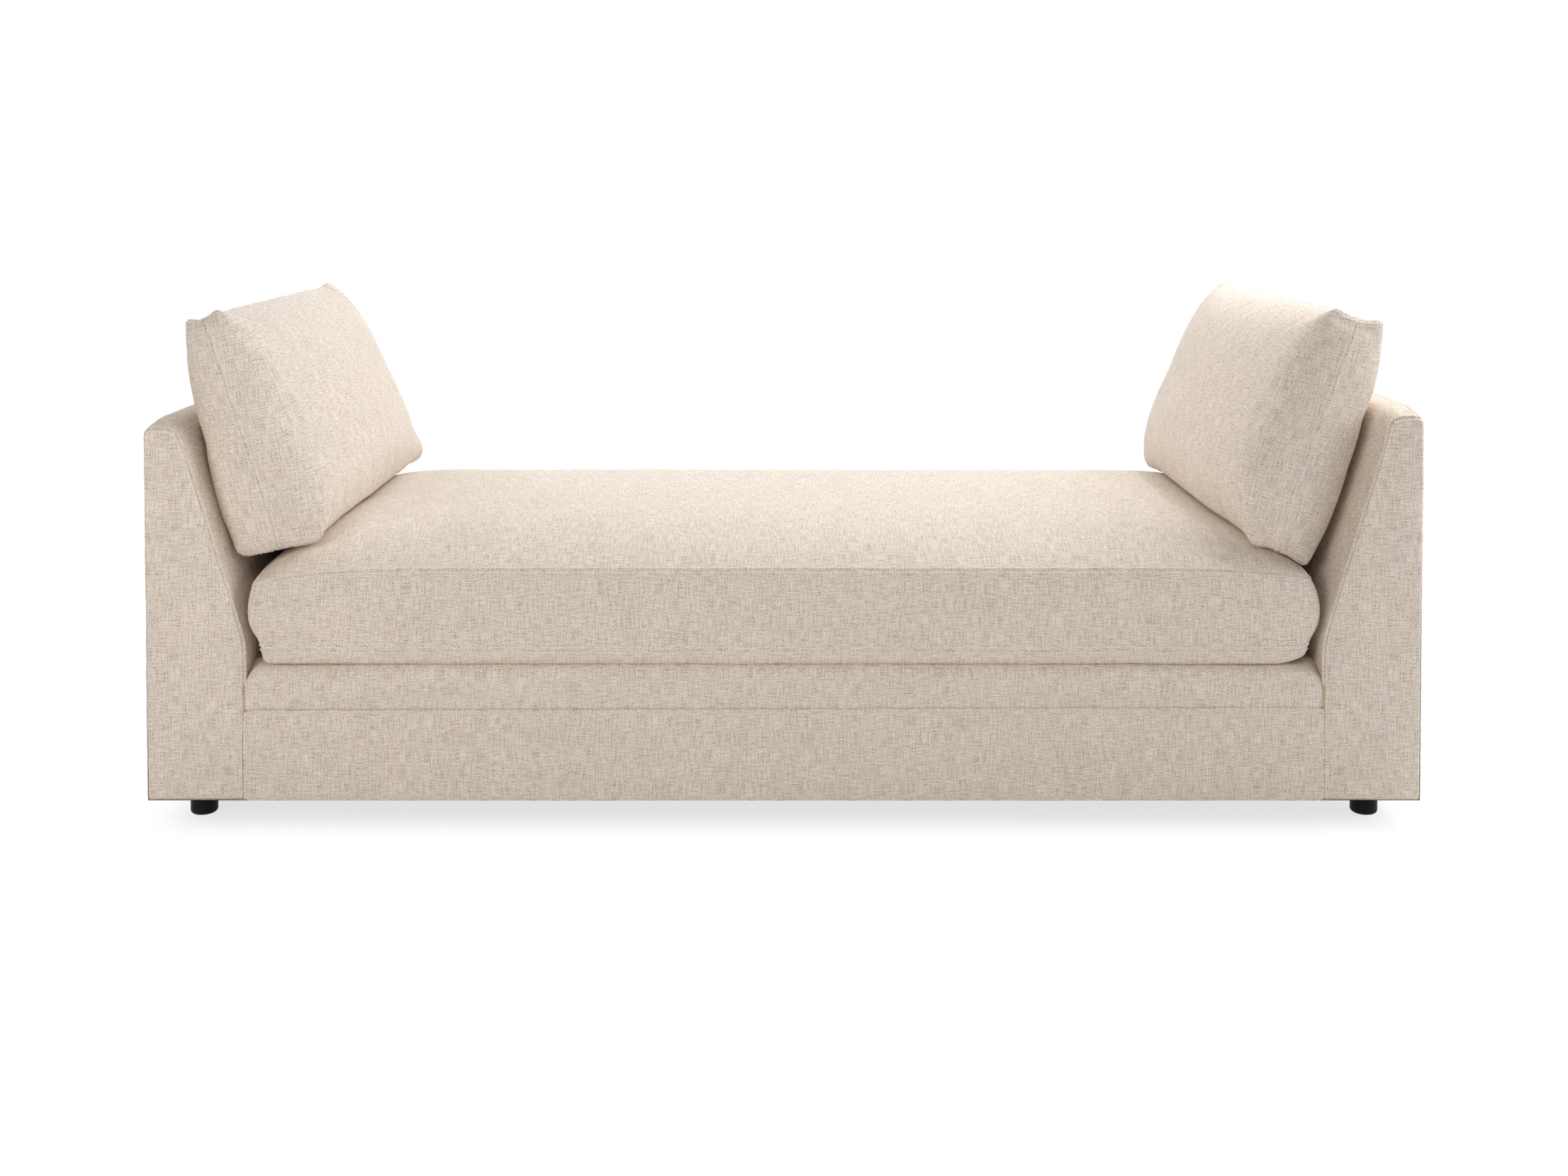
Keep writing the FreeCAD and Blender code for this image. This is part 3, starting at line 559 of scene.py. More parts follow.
def finish(piece, body, paint, replaced=()):
    """Gives a piece its material and its body, and hides the nodes that it stands for."""
    piece.data.materials.clear()
    piece.data.materials.append(material(paint))
    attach(piece, body)
    if replaced:
        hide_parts(*replaced)
    return piece


def upholster(piece, body, replaced):
    """Finishes a piece in the divan's own cloth."""
    return finish(piece, body, "upholstery", replaced)


def sew(name, body, surfaces, chains, **shown):
    """Adds the topstitching of a body's seams."""
    rows = sew_rows(name, surfaces, chains, **shown)
    return finish(rows, body, "stitch_thread")


# Materials


class Graph:
    """A short way to write shader nodes."""

    def __init__(self, tree):
        self.tree = tree

    def add(self, kind, values=None, **settings):
        node = self.tree.nodes.new(kind)
        for name, value in settings.items():
            setattr(node, name, value)
        for name, value in (values or {}).items():
            self.feed(node.inputs[name], value)
        return node

    def feed(self, socket, value):
        if isinstance(value, bpy.types.NodeSocket):
            self.tree.links.new(value, socket)
        else:
            socket.default_value = value

    def maths(self, operation, first, second=0.0, clamp=False):
        node = self.add("ShaderNodeMath", {0: first, 1: second}, operation=operation,
                        use_clamp=clamp)
        return node.outputs[0]

    def weigh(self, *parts, clamp=False):
        """The sum of some values, each times its weight."""
        total = None
        for value, weight in parts:
            part = self.maths("MULTIPLY", value, weight)
            total = part if total is None else self.maths("ADD", total, part, clamp)
        return total

    def swing(self, *parts):
        """The sum of some noises, each taken about zero and times its strength."""
        return self.weigh(*((self.maths("SUBTRACT", value, 0.5), strength)
                            for value, strength in parts))

    def mix(self, factor, first, second, blend="MIX"):
        node = self.add("ShaderNodeMix", data_type="RGBA", blend_type=blend)
        self.feed(node.inputs["Factor"], factor)
        self.feed(node.inputs[6], first)
        self.feed(node.inputs[7], second)
        return node.outputs[2]

    def spread(self, vector, scale, turn=(0, 0, 0), shift=(0, 0, 0)):
        values = {"Vector": vector, "Scale": scale, "Rotation": turn, "Location": shift}
        return self.add("ShaderNodeMapping", values).outputs[0]

    def noise(self, vector, detail=2.0, rough=0.5, scale=1.0):
        values = {"Vector": vector, "Scale": scale, "Detail": detail, "Roughness": rough}
        return self.add("ShaderNodeTexNoise", values).outputs["Fac"]

    def remap(self, value, low, high, first=0.0, last=1.0):
        values = {"Value": value, "From Min": low, "From Max": high, "To Min": first,
                  "To Max": last}
        return self.add("ShaderNodeMapRange", values).outputs[0]

    def place(self):
        return self.add("ShaderNodeTexCoord").outputs["Object"]

    def even_noise(self, size, detail=2.0, rough=0.5):
        """Noise on the object's own coordinates, with so many waves to a metre."""
        return self.noise(self.spread(self.place(), (size, size, size)), detail, rough)

    def looked_at(self):
        """1 for what a camera, a mirror or glass sees, and 0 for light."""
        path = self.add("ShaderNodeLightPath")
        seen = self.maths("MAXIMUM", path.outputs["Is Camera Ray"],
                          path.outputs["Is Glossy Ray"])
        return self.maths("MAXIMUM", seen, path.outputs["Is Transmission Ray"])


def rgba(colour):
    """A colour with its alpha."""
    return (*colour, 1.0)


def new_group(name, inputs, outputs):
    """A shader node group with its sockets. Gives the tree, its input node and its output node."""
    tree = bpy.data.node_groups.new(name, "ShaderNodeTree")
    for label, kind, default in inputs:
        socket = tree.interface.new_socket(label, in_out="INPUT", socket_type=kind)
        if default is not None:
            socket.default_value = default
    for label, kind in outputs:
        tree.interface.new_socket(label, in_out="OUTPUT", socket_type=kind)
    return tree, tree.nodes.new("NodeGroupInput"), tree.nodes.new("NodeGroupOutput")


# Yarns of the weave: size across and along in metres, shift, detail, and strength
WARP = (0.0027, 0.030, (0, 0, 0), 1.5, 1.05)
WEFT = (0.024, 0.0026, (3.1, 7.7, 2), 1.5, 1.0)
KNOTS = (0.0014, 0.0016, (5, 1, 9), 1.0, 3.0)
STREAKS = (0.045, 0.22, (1, 4, 5), 2.0, 0.45)
BANDS = (0.22, 0.05, (8, 2, 1), 2.0, 0.3)
WANDER_WAVE, WANDER = 0.05, 0.006  # how the threads stray from a straight line, in metres
DARK_SPAN, PALE_SPAN = (0.0, -0.6), (-0.05, 0.5)  # tones from which a fleck turns dark or pale
DRIFT_LEVELS = (0.86, 1.14)  # how dark and how light the streaks and bands get
WARM_CAST, COOL_CAST = (1.0, 0.982, 0.95, 1), (1.0, 0.982, 0.98, 1)
CAST_SIZE, CAST_SHIFT, CAST_SPAN = (1 / 0.05, 1 / 0.2, 1), (9, 9, 3), (0.36, 0.64)


def woven_cloth():
    """Irregular linen weave: slubbed warp and weft, flecks, and soft streaks of colour."""
    found = bpy.data.node_groups.get("woven_cloth")
    if found:
        return found
    tree, given, out = new_group(
        "woven_cloth",
        [
            ("Threads", "NodeSocketVector", None),
            ("Cloth", "NodeSocketColor", (0.7, 0.63, 0.54, 1)),
            ("Dark yarn", "NodeSocketColor", (0.36, 0.3, 0.24, 1)),
            ("Pale yarn", "NodeSocketColor", (0.9, 0.85, 0.78, 1)),
            ("Contrast", "NodeSocketFloat", 1.0),
        ],
        [("Colour", "NodeSocketColor"), ("Height", "NodeSocketFloat"),
         ("Roughness", "NodeSocketFloat")],
    )
    g = Graph(tree)
    straight = given.outputs["Threads"]
    stray = g.noise(g.spread(straight, (1 / WANDER_WAVE, 1 / WANDER_WAVE, 1)), detail=1.0)
    push = g.swing((stray, WANDER))
    both = g.add("ShaderNodeCombineXYZ", {0: push, 1: push}).outputs[0]
    threads = g.add("ShaderNodeVectorMath", {0: straight, 1: both}, operation="ADD").outputs[0]

    def spin(across, along, shift, detail, strength):
        spread = g.spread(threads, (1 / across, 1 / along, 1), shift=shift)
        return g.noise(spread, detail), strength

    warp, weft, knots = (spin(*yarn) for yarn in (WARP, WEFT, KNOTS))
    tone = g.maths("MULTIPLY", g.swing(warp, weft, knots), given.outputs["Contrast"])
    drift = g.swing(spin(*STREAKS), spin(*BANDS))
    colour = g.mix(g.remap(tone, *DARK_SPAN), given.outputs["Cloth"], given.outputs["Dark yarn"])
    colour = g.mix(g.remap(tone, *PALE_SPAN), colour, given.outputs["Pale yarn"])
    level = g.remap(drift, -0.5, 0.5, *DRIFT_LEVELS)
    grey = g.add("ShaderNodeCombineColor", {0: level, 1: level, 2: level}).outputs[0]
    colour = g.mix(1.0, colour, grey, "MULTIPLY")
    hue = g.remap(g.noise(g.spread(threads, CAST_SIZE, shift=CAST_SHIFT)), *CAST_SPAN)
    colour = g.mix(1.0, colour, g.mix(hue, WARM_CAST, COOL_CAST), "MULTIPLY")
    g.feed(out.inputs["Colour"], colour)
    g.feed(out.inputs["Height"], g.weigh((warp[0], 0.5), (weft[0], 0.5), (knots[0], 0.6)))
    g.feed(out.inputs["Roughness"], g.remap(knots[0], 0.3, 0.7, 0.98, 0.86))
    return tree


def new_material(name):
    """A material with a plain shader. Gives the material, its graph and the shader."""
    made = bpy.data.materials.new(f"{name}_finish")
    made.use_nodes = True
    made.node_tree.nodes.clear()
    g = Graph(made.node_tree)
    shader = g.add("ShaderNodeBsdfPrincipled")
    out = g.add("ShaderNodeOutputMaterial")
    g.feed(out.inputs["Surface"], shader.outputs[0])
    return made, g, shader


def dress(g, shader, colour, roughness, height, depth, strength=1.0):
    """Feeds a shader its colour, its roughness and its relief, whose depth is in metres."""
    g.feed(shader.inputs["Base Color"], colour)
    g.feed(shader.inputs["Roughness"], roughness)
    relief = g.add("ShaderNodeBump", {"Height": height, "Distance": depth, "Strength": strength})
    g.feed(shader.inputs["Normal"], relief.outputs[0])


def set_shader(shader, **values):
    """Sets the shader's own sockets, by their names with underscores."""
    for name, value in values.items():
        shader.inputs[name.replace("_", " ")].default_value = value


def darker(colour, share):
    """A colour times a share of its light."""
    return tuple(channel * share for channel in colour)


def paint_upholstery(name):
    """The divan's own cloth, on pieces that have a weave map."""
    made, g, shader = new_material(name)
    c = colours()
    values = {"Threads": g.add("ShaderNodeUVMap", uv_map=WEAVE_MAP).outputs[0],
              "Cloth": rgba(c.cloth), "Dark yarn": rgba(c.cloth_dark),
              "Pale yarn": rgba(c.cloth_pale)}
    weave = g.add("ShaderNodeGroup", node_tree=woven_cloth())
    for label, value in values.items():
        g.feed(weave.inputs[label], value)
    set_shader(shader, Sheen_Weight=0.12, Sheen_Roughness=0.5, Sheen_Tint=(1, 0.96, 0.9, 1),
               Specular_IOR_Level=0.12)
    dress(g, shader, weave.outputs["Colour"], weave.outputs["Roughness"],
          weave.outputs["Height"], 0.0015, 0.9)
    return made


def paint_thread(name):
    """Twisted sewing thread."""
    made, g, shader = new_material(name)
    twist = g.even_noise(900, detail=1)
    thread = colours().thread
    colour = g.mix(g.remap(twist, 0.35, 0.65), rgba(darker(thread, 0.9)), rgba(thread))
    set_shader(shader, Sheen_Weight=0.2)
    dress(g, shader, colour, g.remap(twist, 0.3, 0.7, 0.5, 0.7), twist, 0.0002)
    return made


def paint_frame_cloth(name):
    """The upholstery on a frame's own cover, which has no weave map."""
    made = paint_upholstery(name)
    g = Graph(made.node_tree)
    weave = next(node for node in made.node_tree.nodes if node.type == "GROUP")
    g.feed(weave.inputs["Threads"], g.spread(g.place(), (1, 1, 1), turn=(math.pi / 2, 0, 0)))
    return made


def wood_grain():
    """Long grain with rings and pores. Gives a mask and a height."""
    found = bpy.data.node_groups.get("wood_grain")
    if found:
        return found
    tree, given, out = new_group(
        "wood_grain",
        [("Place", "NodeSocketVector", None), ("Ring width", "NodeSocketFloat", 0.012)],
        [("Mask", "NodeSocketFloat"), ("Height", "NodeSocketFloat")],
    )
    g = Graph(tree)
    bent = g.noise(g.spread(given.outputs["Place"], (1.2, 14, 14)), detail=3)
    rings = g.maths("DIVIDE", g.maths("MULTIPLY", bent, 0.12), given.outputs["Ring width"])
    rings = g.maths("FRACT", rings)
    pores = g.noise(g.spread(given.outputs["Place"], (18, 700, 700)), detail=2)
    g.feed(out.inputs["Mask"], g.weigh((rings, 0.6), (pores, 0.5), clamp=True))
    g.feed(out.inputs["Height"], pores)
    return tree


def paint_wood(light, dark, ring):
    """Paint for sawn wood, by its two colours and the width of its rings."""
    def paint(name):
        made, g, shader = new_material(name)
        grain = g.add("ShaderNodeGroup", {"Ring width": ring}, node_tree=wood_grain())
        g.feed(grain.inputs["Place"], g.place())
        pores = grain.outputs["Height"]
        colour = g.mix(grain.outputs["Mask"], rgba(light), rgba(dark))
        dress(g, shader, colour, g.remap(pores, 0.3, 0.7, 0.55, 0.8), pores, 0.0006)
        return made

    return paint


def paint_fibre(light, dark, waves, depth):
    """Paint for felt, foam, wadding or pressed board, with so many fibres or cells to a metre."""
    def paint(name):
        made, g, shader = new_material(name)
        fine = g.even_noise(waves, detail=3, rough=0.65)
        tone = g.weigh((fine, 0.75), (g.even_noise(12), 0.25))
        colour = g.mix(g.remap(tone, 0.35, 0.65), rgba(dark), rgba(light))
        dress(g, shader, colour, g.remap(fine, 0.3, 0.7, 0.85, 1.0), fine, depth)
        return made

    return paint


def paint_tape(light, dark, pitch):
    """Paint for tightly woven tape and plain cloth, by the pitch of its threads."""
    def paint(name):
        made, g, shader = new_material(name)
        fine, long = 1 / pitch, 0.25 / pitch
        warp = g.noise(g.spread(g.place(), (fine, long, long)), detail=1)
        weft = g.noise(g.spread(g.place(), (long, fine, fine), shift=(3, 5, 7)), detail=1)
        tone = g.weigh((warp, 0.5), (weft, 0.5))
        colour = g.mix(g.remap(tone, 0.38, 0.62), rgba(dark), rgba(light))
        dress(g, shader, colour, g.remap(tone, 0.3, 0.7, 0.95, 0.75), tone, 0.4 * pitch)
        return made

    return paint


def paint_metal(light, dark, rough):
    """Paint for drawn or plated steel and lacquered zip metal, a little worn."""
    def paint(name):
        made, g, shader = new_material(name)
        lines = g.noise(g.spread(g.place(), (60, 900, 900)), detail=2)
        tone = g.weigh((lines, 0.4), (g.even_noise(45, detail=4, rough=0.6), 0.6))
        colour = g.mix(g.remap(tone, 0.4, 0.62), rgba(light), rgba(dark))
        set_shader(shader, Metallic=0.9)
        dress(g, shader, colour, g.remap(tone, 0.35, 0.65, rough, rough + 0.2), lines, 0.0001)
        return made

    return paint


DUST_TOP = 0.022  # height up to which a foot is dusty


def paint_plastic(name):
    """Moulded black plastic with a fine grain, dusty and scuffed near the floor."""
    made, g, shader = new_material(name)
    grain = g.even_noise(900)
    scuff = g.noise(g.spread(g.place(), (70, 70, 25)), detail=5, rough=0.7)
    low = g.remap(g.add("ShaderNodeSeparateXYZ", {0: g.place()}).outputs[2], DUST_TOP, 0.0)
    dust = g.maths("MULTIPLY", low, g.remap(scuff, 0.45, 0.75), clamp=True)
    dark = colours().plastic
    grey = tuple(channel * 2 + 0.015 for channel in dark)
    rough = g.maths("ADD", g.remap(grain, 0.3, 0.7, 0.4, 0.55), g.maths("MULTIPLY", dust, 0.3))
    set_shader(shader, Specular_IOR_Level=0.12)
    dress(g, shader, g.mix(dust, rgba(dark), rgba(grey)), rough, grain, 0.00015)
    return made


# Each finish: two colours, and then the width of its rings, its fibres to a metre and their
# depth, the pitch of its threads, or its roughness
PAINTS = {
    "upholstery": paint_upholstery,
    "stitch_thread": paint_thread,
    "frame_cloth": paint_frame_cloth,
    "timber": paint_wood((0.62, 0.43, 0.25), (0.40, 0.24, 0.12), 0.012),
    "plywood": paint_wood((0.66, 0.49, 0.31), (0.46, 0.31, 0.17), 0.02),
    "hardboard": paint_fibre((0.27, 0.16, 0.09), (0.15, 0.085, 0.045), 500, 0.0003),
    "foam": paint_fibre((0.84, 0.77, 0.55), (0.66, 0.58, 0.37), 650, 0.0006),
    "cushion_foam": paint_fibre((0.80, 0.82, 0.77), (0.63, 0.66, 0.60), 650, 0.0006),
    "pillow_fill": paint_fibre((0.88, 0.87, 0.84), (0.72, 0.71, 0.68), 160, 0.003),
    "felt": paint_fibre((0.20, 0.19, 0.185), (0.09, 0.085, 0.085), 420, 0.001),
    "deck_cloth": paint_tape((0.62, 0.55, 0.46), (0.46, 0.40, 0.325), 0.0009),
    "dust_cloth": paint_fibre((0.022, 0.022, 0.024), (0.008, 0.008, 0.009), 700, 0.0003),
    "spring_steel": paint_metal((0.30, 0.30, 0.31), (0.12, 0.11, 0.105), 0.35),
    "zinc_steel": paint_metal((0.62, 0.62, 0.60), (0.40, 0.40, 0.38), 0.28),
    "foot_plastic": paint_plastic,
    "zip_tape": paint_tape((0.66, 0.59, 0.50), (0.50, 0.44, 0.36), 0.0006),
    "zip_metal": paint_metal((0.60, 0.53, 0.42), (0.36, 0.31, 0.24), 0.3),
}
FINISHES = {}


def material(name):
    """A finish by its name, made when it is first asked for."""
    if name not in FINISHES:
        FINISHES[name] = PAINTS[name](name)
    return FINISHES[name]


# Arms


ARM_TURN = 0.03  # half the height over which an arm's inner face turns into its slope
ARM_TOP_CLOTH = 0.15  # length of the cloth across an arm's top
ARM_LIFTS = {"left": -0.0075, "right": 0.013}  # height of the end seams above the frame's arms
ARM_LEANS = {"left": 0.003, "right": 0.0015}  # how far the outer side leans out at its top
INNER_PUFF, OUTER_PUFF, FACING_PUFF = 0.005, 0.002, 0.0035  # how far padding swells the faces
ARM_LUMPS, ARM_LUMP_WAVE = 0.0012, 0.16  # height and length of the padding's unevenness
FACING_FOLD = 0.03  # how far the cloth goes on behind the rails' ends
BARE_EDGE = 0.004  # how near to an arm's outer side there are no stitches
WRAP, SIDE_CLOTH, FRONT_FACING, BACK_FACING, UNSEEN = range(5)
ARM_CLOTHS = ("wrap", "side", "front", "back")
ARM_NODES = ("cover", "outer_cover", "front_facing", "back_facing")


def arm_lean():
    """How far an arm's inner face leans out for each metre that it rises."""
    s = sizes()
    return (FACING_HIGH.x - s.arm_top_width - ARM_LOW.x) / (ARM_HIGH.z - s.arm_slope_start)


def arm_inner(height):
    """Distance from the middle to an arm's inner face, softly turned where its slope starts."""
    over = np.asarray(height) - sizes().arm_slope_start
    turned = (over + ARM_TURN) ** 2 / (4 * ARM_TURN)
    soft = np.where(over > ARM_TURN, over, np.where(over < -ARM_TURN, 0, turned))
    return ARM_LOW.x + arm_lean() * soft


def arm_panel(axis, way):
    """Which cloth of the right arm a side of its box belongs to."""
    if axis == 1:
        return FRONT_FACING if way < 0 else BACK_FACING
    if axis == 0:
        return WRAP if way < 0 else SIDE_CLOTH
    return WRAP if way > 0 else UNSEEN


def make_arm(side):
    """Inner face and top, outer side and two facings, cut from one padded shape and sewn."""
    s = sizes()
    low = Vector((FACING_HIGH.x - s.arm_top_width, FACING_LOW.y, FACING_LOW.z))
    high = Vector((FACING_HIGH.x, -FACING_LOW.y, ARM_HIGH.z))
    arm = add_box(f"{side}_arm", low, high)
    quilt(arm, (ARM_TOP_CLOTH, high.y - low.y, high.z - low.z), s.cell)
    axes, ways = face_axes(arm)
    panels = np.array([arm_panel(axis, way) for axis, way in zip(axes, ways)])
    for index in range(UNSEEN + 1):
        arm.data.materials.append(bpy.data.materials.new(f"cut{index}"))
    arm.data.polygons.foreach_set("material_index", panels)

    def sewn(middle, run):
        at_outer, at_top = close(middle[0], high.x), close(middle[2], high.z)
        if close(abs(middle[1]), high.y):
            return at_outer or at_top or close(middle[0], low.x)
        return at_outer and at_top

    flag_seams(arm, sewn)
    set_points(arm, arm_shape(side, points_of(arm), low, high))
    lay_weave(arm, axes, points_of(arm))
    mirror_to(arm, SIDES[side])
    subdivide(arm)
    chains = press_seams(arm, 0.7)
    remove_unseen(arm)
    cuts = cut_panels(arm, [f"{side}_arm_{cloth}" for cloth in ARM_CLOTHS])
    for index, piece in cuts.items():
        apply_modifier(piece, "SOLIDIFY", thickness=s.cloth, offset=-1)
        upholster(smooth(piece), "frame", [f"{side}_arm_{ARM_NODES[index]}"])
    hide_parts(f"{side}_arm_foam")
    sew(f"{side}_arm_stitches", "frame", list(cuts.values()), chains,
        shows=lambda spot: abs(spot.x) < high.x - BARE_EDGE)


def arm_shape(side, cage, low, high):
    """Moves the box's points to the padded wedge of an arm."""
    s = sizes()
    across = (cage[:, 0] - low.x) / (high.x - low.x)
    level = cage[:, 2]
    inner = arm_inner(level)
    outer = high.x + ARM_LEANS[side] * (level - low.z) / (high.z - low.z)
    x = inner + across * (outer - inner)
    tilt = math.atan(arm_lean())
    inner_way = (-math.cos(tilt), math.sin(tilt))
    x, up = round_corner(x, level, (arm_inner(high.z), high.z), (inner_way, (0, 1)), s.arm_round)
    x, up = round_corner(x, up, (high.x, high.z), ((1, 0), (0, 1)), s.arm_outer_round)
    from_end = high.y - np.abs(cage[:, 1])
    swell = smoothstep(0, s.arm_swell_reach, from_end) ** 0.6
    on_top = smoothstep(high.z - 0.06, high.z - 0.01, level)
    up += on_top * (s.arm_swell * swell + ARM_LIFTS[side])
    sides = swell * (1 - on_top)
    inner_half = np.where(across < 0.5, 1 - 2 * across, 0) * smoothstep(0.25, 0.4, level)
    x -= INNER_PUFF * inner_half * sides
    x += OUTER_PUFF * np.where(across > 0.999, 1, 0) * smoothstep(0.08, 0.3, level) * sides
    middle = np.clip(across * (1 - across) * 4, 0, 1) ** 0.6
    middle *= smoothstep(0, 0.1, high.z - level)
    puff = np.where(from_end < NEAR, FACING_PUFF * middle, 0)
    points = np.stack([x, cage[:, 1] + np.sign(cage[:, 1]) * puff, up], axis=1)
    lumps = unevenness(points, ARM_LUMP_WAVE, SIDES[side] * 3.0)
    points += ARM_LUMPS * lumps[:, None] * np.array([0.6, 0.5, 0.6])
    return points


def mirror_to(piece, sign):
    """Turns a right-hand shape into a left-hand one where it is asked for."""
    if sign > 0:
        return
    points = points_of(piece)
    points[:, 0] *= -1
    set_points(piece, points)
    with editing(piece, "FACE"):
        bpy.ops.mesh.select_all(action="SELECT")
        bpy.ops.mesh.flip_normals()


def remove_unseen(arm):
    """Takes off what no cloth covers: the box's floor, and its inner face inside the frame."""
    fold = abs(FACING_LOW.y) - FACING_FOLD
    with editing(arm, "FACE") as mesh:
        def unseen(face):
            spot = face.calc_center_median()
            inside = abs(spot.x) < ARM_LOW.x + 0.01 and abs(spot.y) < fold
            return face.material_index == UNSEEN or inside and spot.z < ARM_LOW.z

        pick(mesh, mesh.faces, unseen)
        bpy.ops.mesh.delete(type="FACE")


def cut_panels(arm, names):
    """Cuts an arm's shape into its cloths, by the number that each face carries."""
    made = {}
    for index, name in list(enumerate(names))[1:]:
        with editing(arm, "FACE") as mesh:
            pick(mesh, mesh.faces, lambda face: face.material_index == index)
            bpy.ops.mesh.separate(type="SELECTED")
        cut = next(thing for thing in bpy.context.selected_objects if thing != arm)
        made[index] = named(cut, name)
    made[0] = named(arm, names[0])
    return made


class DIVAN_OT_make_arms(bpy.types.Operator):
    """Makes the upholstery of both arms."""

    bl_idname = "divan.make_arms"
    bl_label = "Arms"

    def execute(self, context):
        for side in SIDES:
            make_arm(side)
        return {"FINISHED"}


# Padded bands and plain panels


END_TUCK = Vector((0.0035, 0, 0))  # how far the bands and panels press into the arms' seams
SEAM_SLOPE = 0.0026  # how much higher the band's seam is at its right end than in its middle
BAND_ROUND = 0.026  # radius of a band's front edge
BAND_FALL = 0.022  # how far a band's top falls off at its ends
BAND_CROWN, BAND_BELLY = 0.0055, 0.0045  # how far its top and its face swell in the middle
BAND_FACE = 0.03  # how deep its face's shape reaches into its top
BAND_WAVE, BAND_FACE_LUMPS, BAND_TOP_LUMPS = 0.12, 0.0008, 0.001  # its unevenness
PANEL_WAVE, PANEL_LUMPS, PANEL_BELLY = 0.11, 0.0009, 0.001


def turn_to(end, piece):
    """Turns a front piece round to the back, about the upright axis, where it is asked for."""
    if ENDS[end] < 0:
        return
    points = points_of(piece)
    points[:, :2] *= -1
    set_points(piece, points)


def make_band(end):
    """The padded band over a long rail: upright face, round edge, and top back to the deck."""
    s = sizes()
    low, high = BAND_LOW - END_TUCK, BAND_HIGH + END_TUCK
    band = add_box(f"{end}_band", low, high)
    quilt(band, high - low, s.cell)
    with editing(band, "FACE") as mesh:
        pick(mesh, mesh.faces, lambda face: face.normal.z < -0.5 or face.normal.y > 0.5)
        bpy.ops.mesh.delete(type="FACE")
    axes, _ = face_axes(band)
    cage = points_of(band)
    x, y, z = cage.T.copy()
    y, z = round_corner(y, z, (low.y, high.z), ((-1, 0), (0, 1)), BAND_ROUND)
    from_end = high.x - np.abs(x)
    short = np.clip(BAND_FALL - from_end, 0, BAND_FALL)
    fall = BAND_FALL - np.sqrt(np.clip(BAND_FALL ** 2 - short ** 2, 0, None))
    fall *= 1 - smoothstep(low.y + BAND_FACE, low.y + 2 * BAND_FACE, cage[:, 1])
    upward = smoothstep(low.z, high.z, cage[:, 2])
    z += upward * (BAND_CROWN * (1 - (x / high.x) ** 4) - fall)
    face = 1 - np.clip((cage[:, 1] - low.y) / BAND_FACE, 0, 1)
    rise = np.clip((cage[:, 2] - low.z) / (high.z - low.z), 0, 1)
    belly = BAND_BELLY * np.sin(rise * math.pi * 0.8) * smoothstep(0, BAND_FACE, from_end)
    y -= face * belly
    z += np.where(cage[:, 2] < low.z + NEAR, SEAM_SLOPE * x / high.x, 0)
    points = np.stack([x, y, z], axis=1)
    lumps = unevenness(points, BAND_WAVE, ENDS[end] * 5.0)
    points[:, 1] -= BAND_FACE_LUMPS * lumps * face
    points[:, 2] += BAND_TOP_LUMPS * lumps * upward
    set_points(band, points)
    lay_weave(band, axes, points)
    turn_to(end, band)
    subdivide(band)
    apply_modifier(band, "SOLIDIFY", thickness=s.cloth, offset=-1)
    upholster(smooth(band), "frame", [f"{end}_band_cover", f"{end}_rail_foam"])


def make_panel(end):
    """The plain panel under a band, down to the hem."""
    low, high = PANEL_LOW - END_TUCK, PANEL_HIGH + END_TUCK
    high.z = BAND_LOW.z
    panel = add_box(f"{end}_panel", low, high)
    quilt(panel, (high.x - low.x, 0, high.z - low.z), sizes().cell)
    axes, _ = face_axes(panel)
    points = points_of(panel)
    rise = (points[:, 2] - low.z) / (high.z - low.z)
    points[:, 2] += rise * SEAM_SLOPE * points[:, 0] / high.x
    points[:, 1] -= (PANEL_LUMPS * unevenness(points, PANEL_WAVE, ENDS[end] * 8.0)
                     + PANEL_BELLY * np.sin(rise * math.pi))
    set_points(panel, points)
    lay_weave(panel, axes, points)
    turn_to(end, panel)
    subdivide(panel)
    upholster(smooth(panel, 40), "frame", [f"{end}_panel_cover"])


class DIVAN_OT_make_rails(bpy.types.Operator):
    """Makes the padded bands and plain panels on the front and the back."""

    bl_idname = "divan.make_rails"
    bl_label = "Bands and panels"

    def execute(self, context):
        for end in ENDS:
            make_band(end)
            make_panel(end)
        return {"FINISHED"}


# Seat cushion


SEAT_WIDER, SEAT_SHALLOWER = 0.007, 0.006  # how the sewn box differs from the frame's cushion
SEAT_CORNER = 0.014  # radius of its upright corners
SEAT_AIR = (0.012, 3.0, 0.009)  # growth of the cloth, pressure, and how far a point may move
CORNER_DROPS = {"left": 0.030, "right": 0.014}  # how far the top seam falls towards a corner
FLOOR_LIFTS = {"left": (0.014, 0.03), "right": (0.021, 0.075)}  # rise of a front corner, reach
FLOOR_ROLL = 0.03  # how far the underside takes to reach the deck from its seams
LOW_SEAM_OUT = 0.002  # how far the low seam stands out along the front
LOW_SEAM_IN = 0.021  # how far it is drawn in at the ends
TOP_SEAM_IN = {"left": 0, "right": 0.011}  # how far the top seam is drawn in at the ends
SIDE_DRAW = 0.004  # how far the seams draw the boxing in along the sides
HANG_OUT, HANG_DOWN, HANG_REACH = 0.018, 0.011, 0.008  # how the row beside the low seam hangs
GATHERS = ((-0.115, 0.07), (0.21, 0.035), (0.62, 0.03), (-0.62, 0.04))  # place along x, reach
GATHER_WAVE, GATHER_RISE, GATHER_OUT = 0.036, 0.0045, 0.004
SEAM_WAVER = 0.0008  # how far the low seam wavers between its gathers
SEAT_LUMPS = 0.003
ZIP_STRIP = 0.04  # how far in from the zip the cloth starts to lie flat


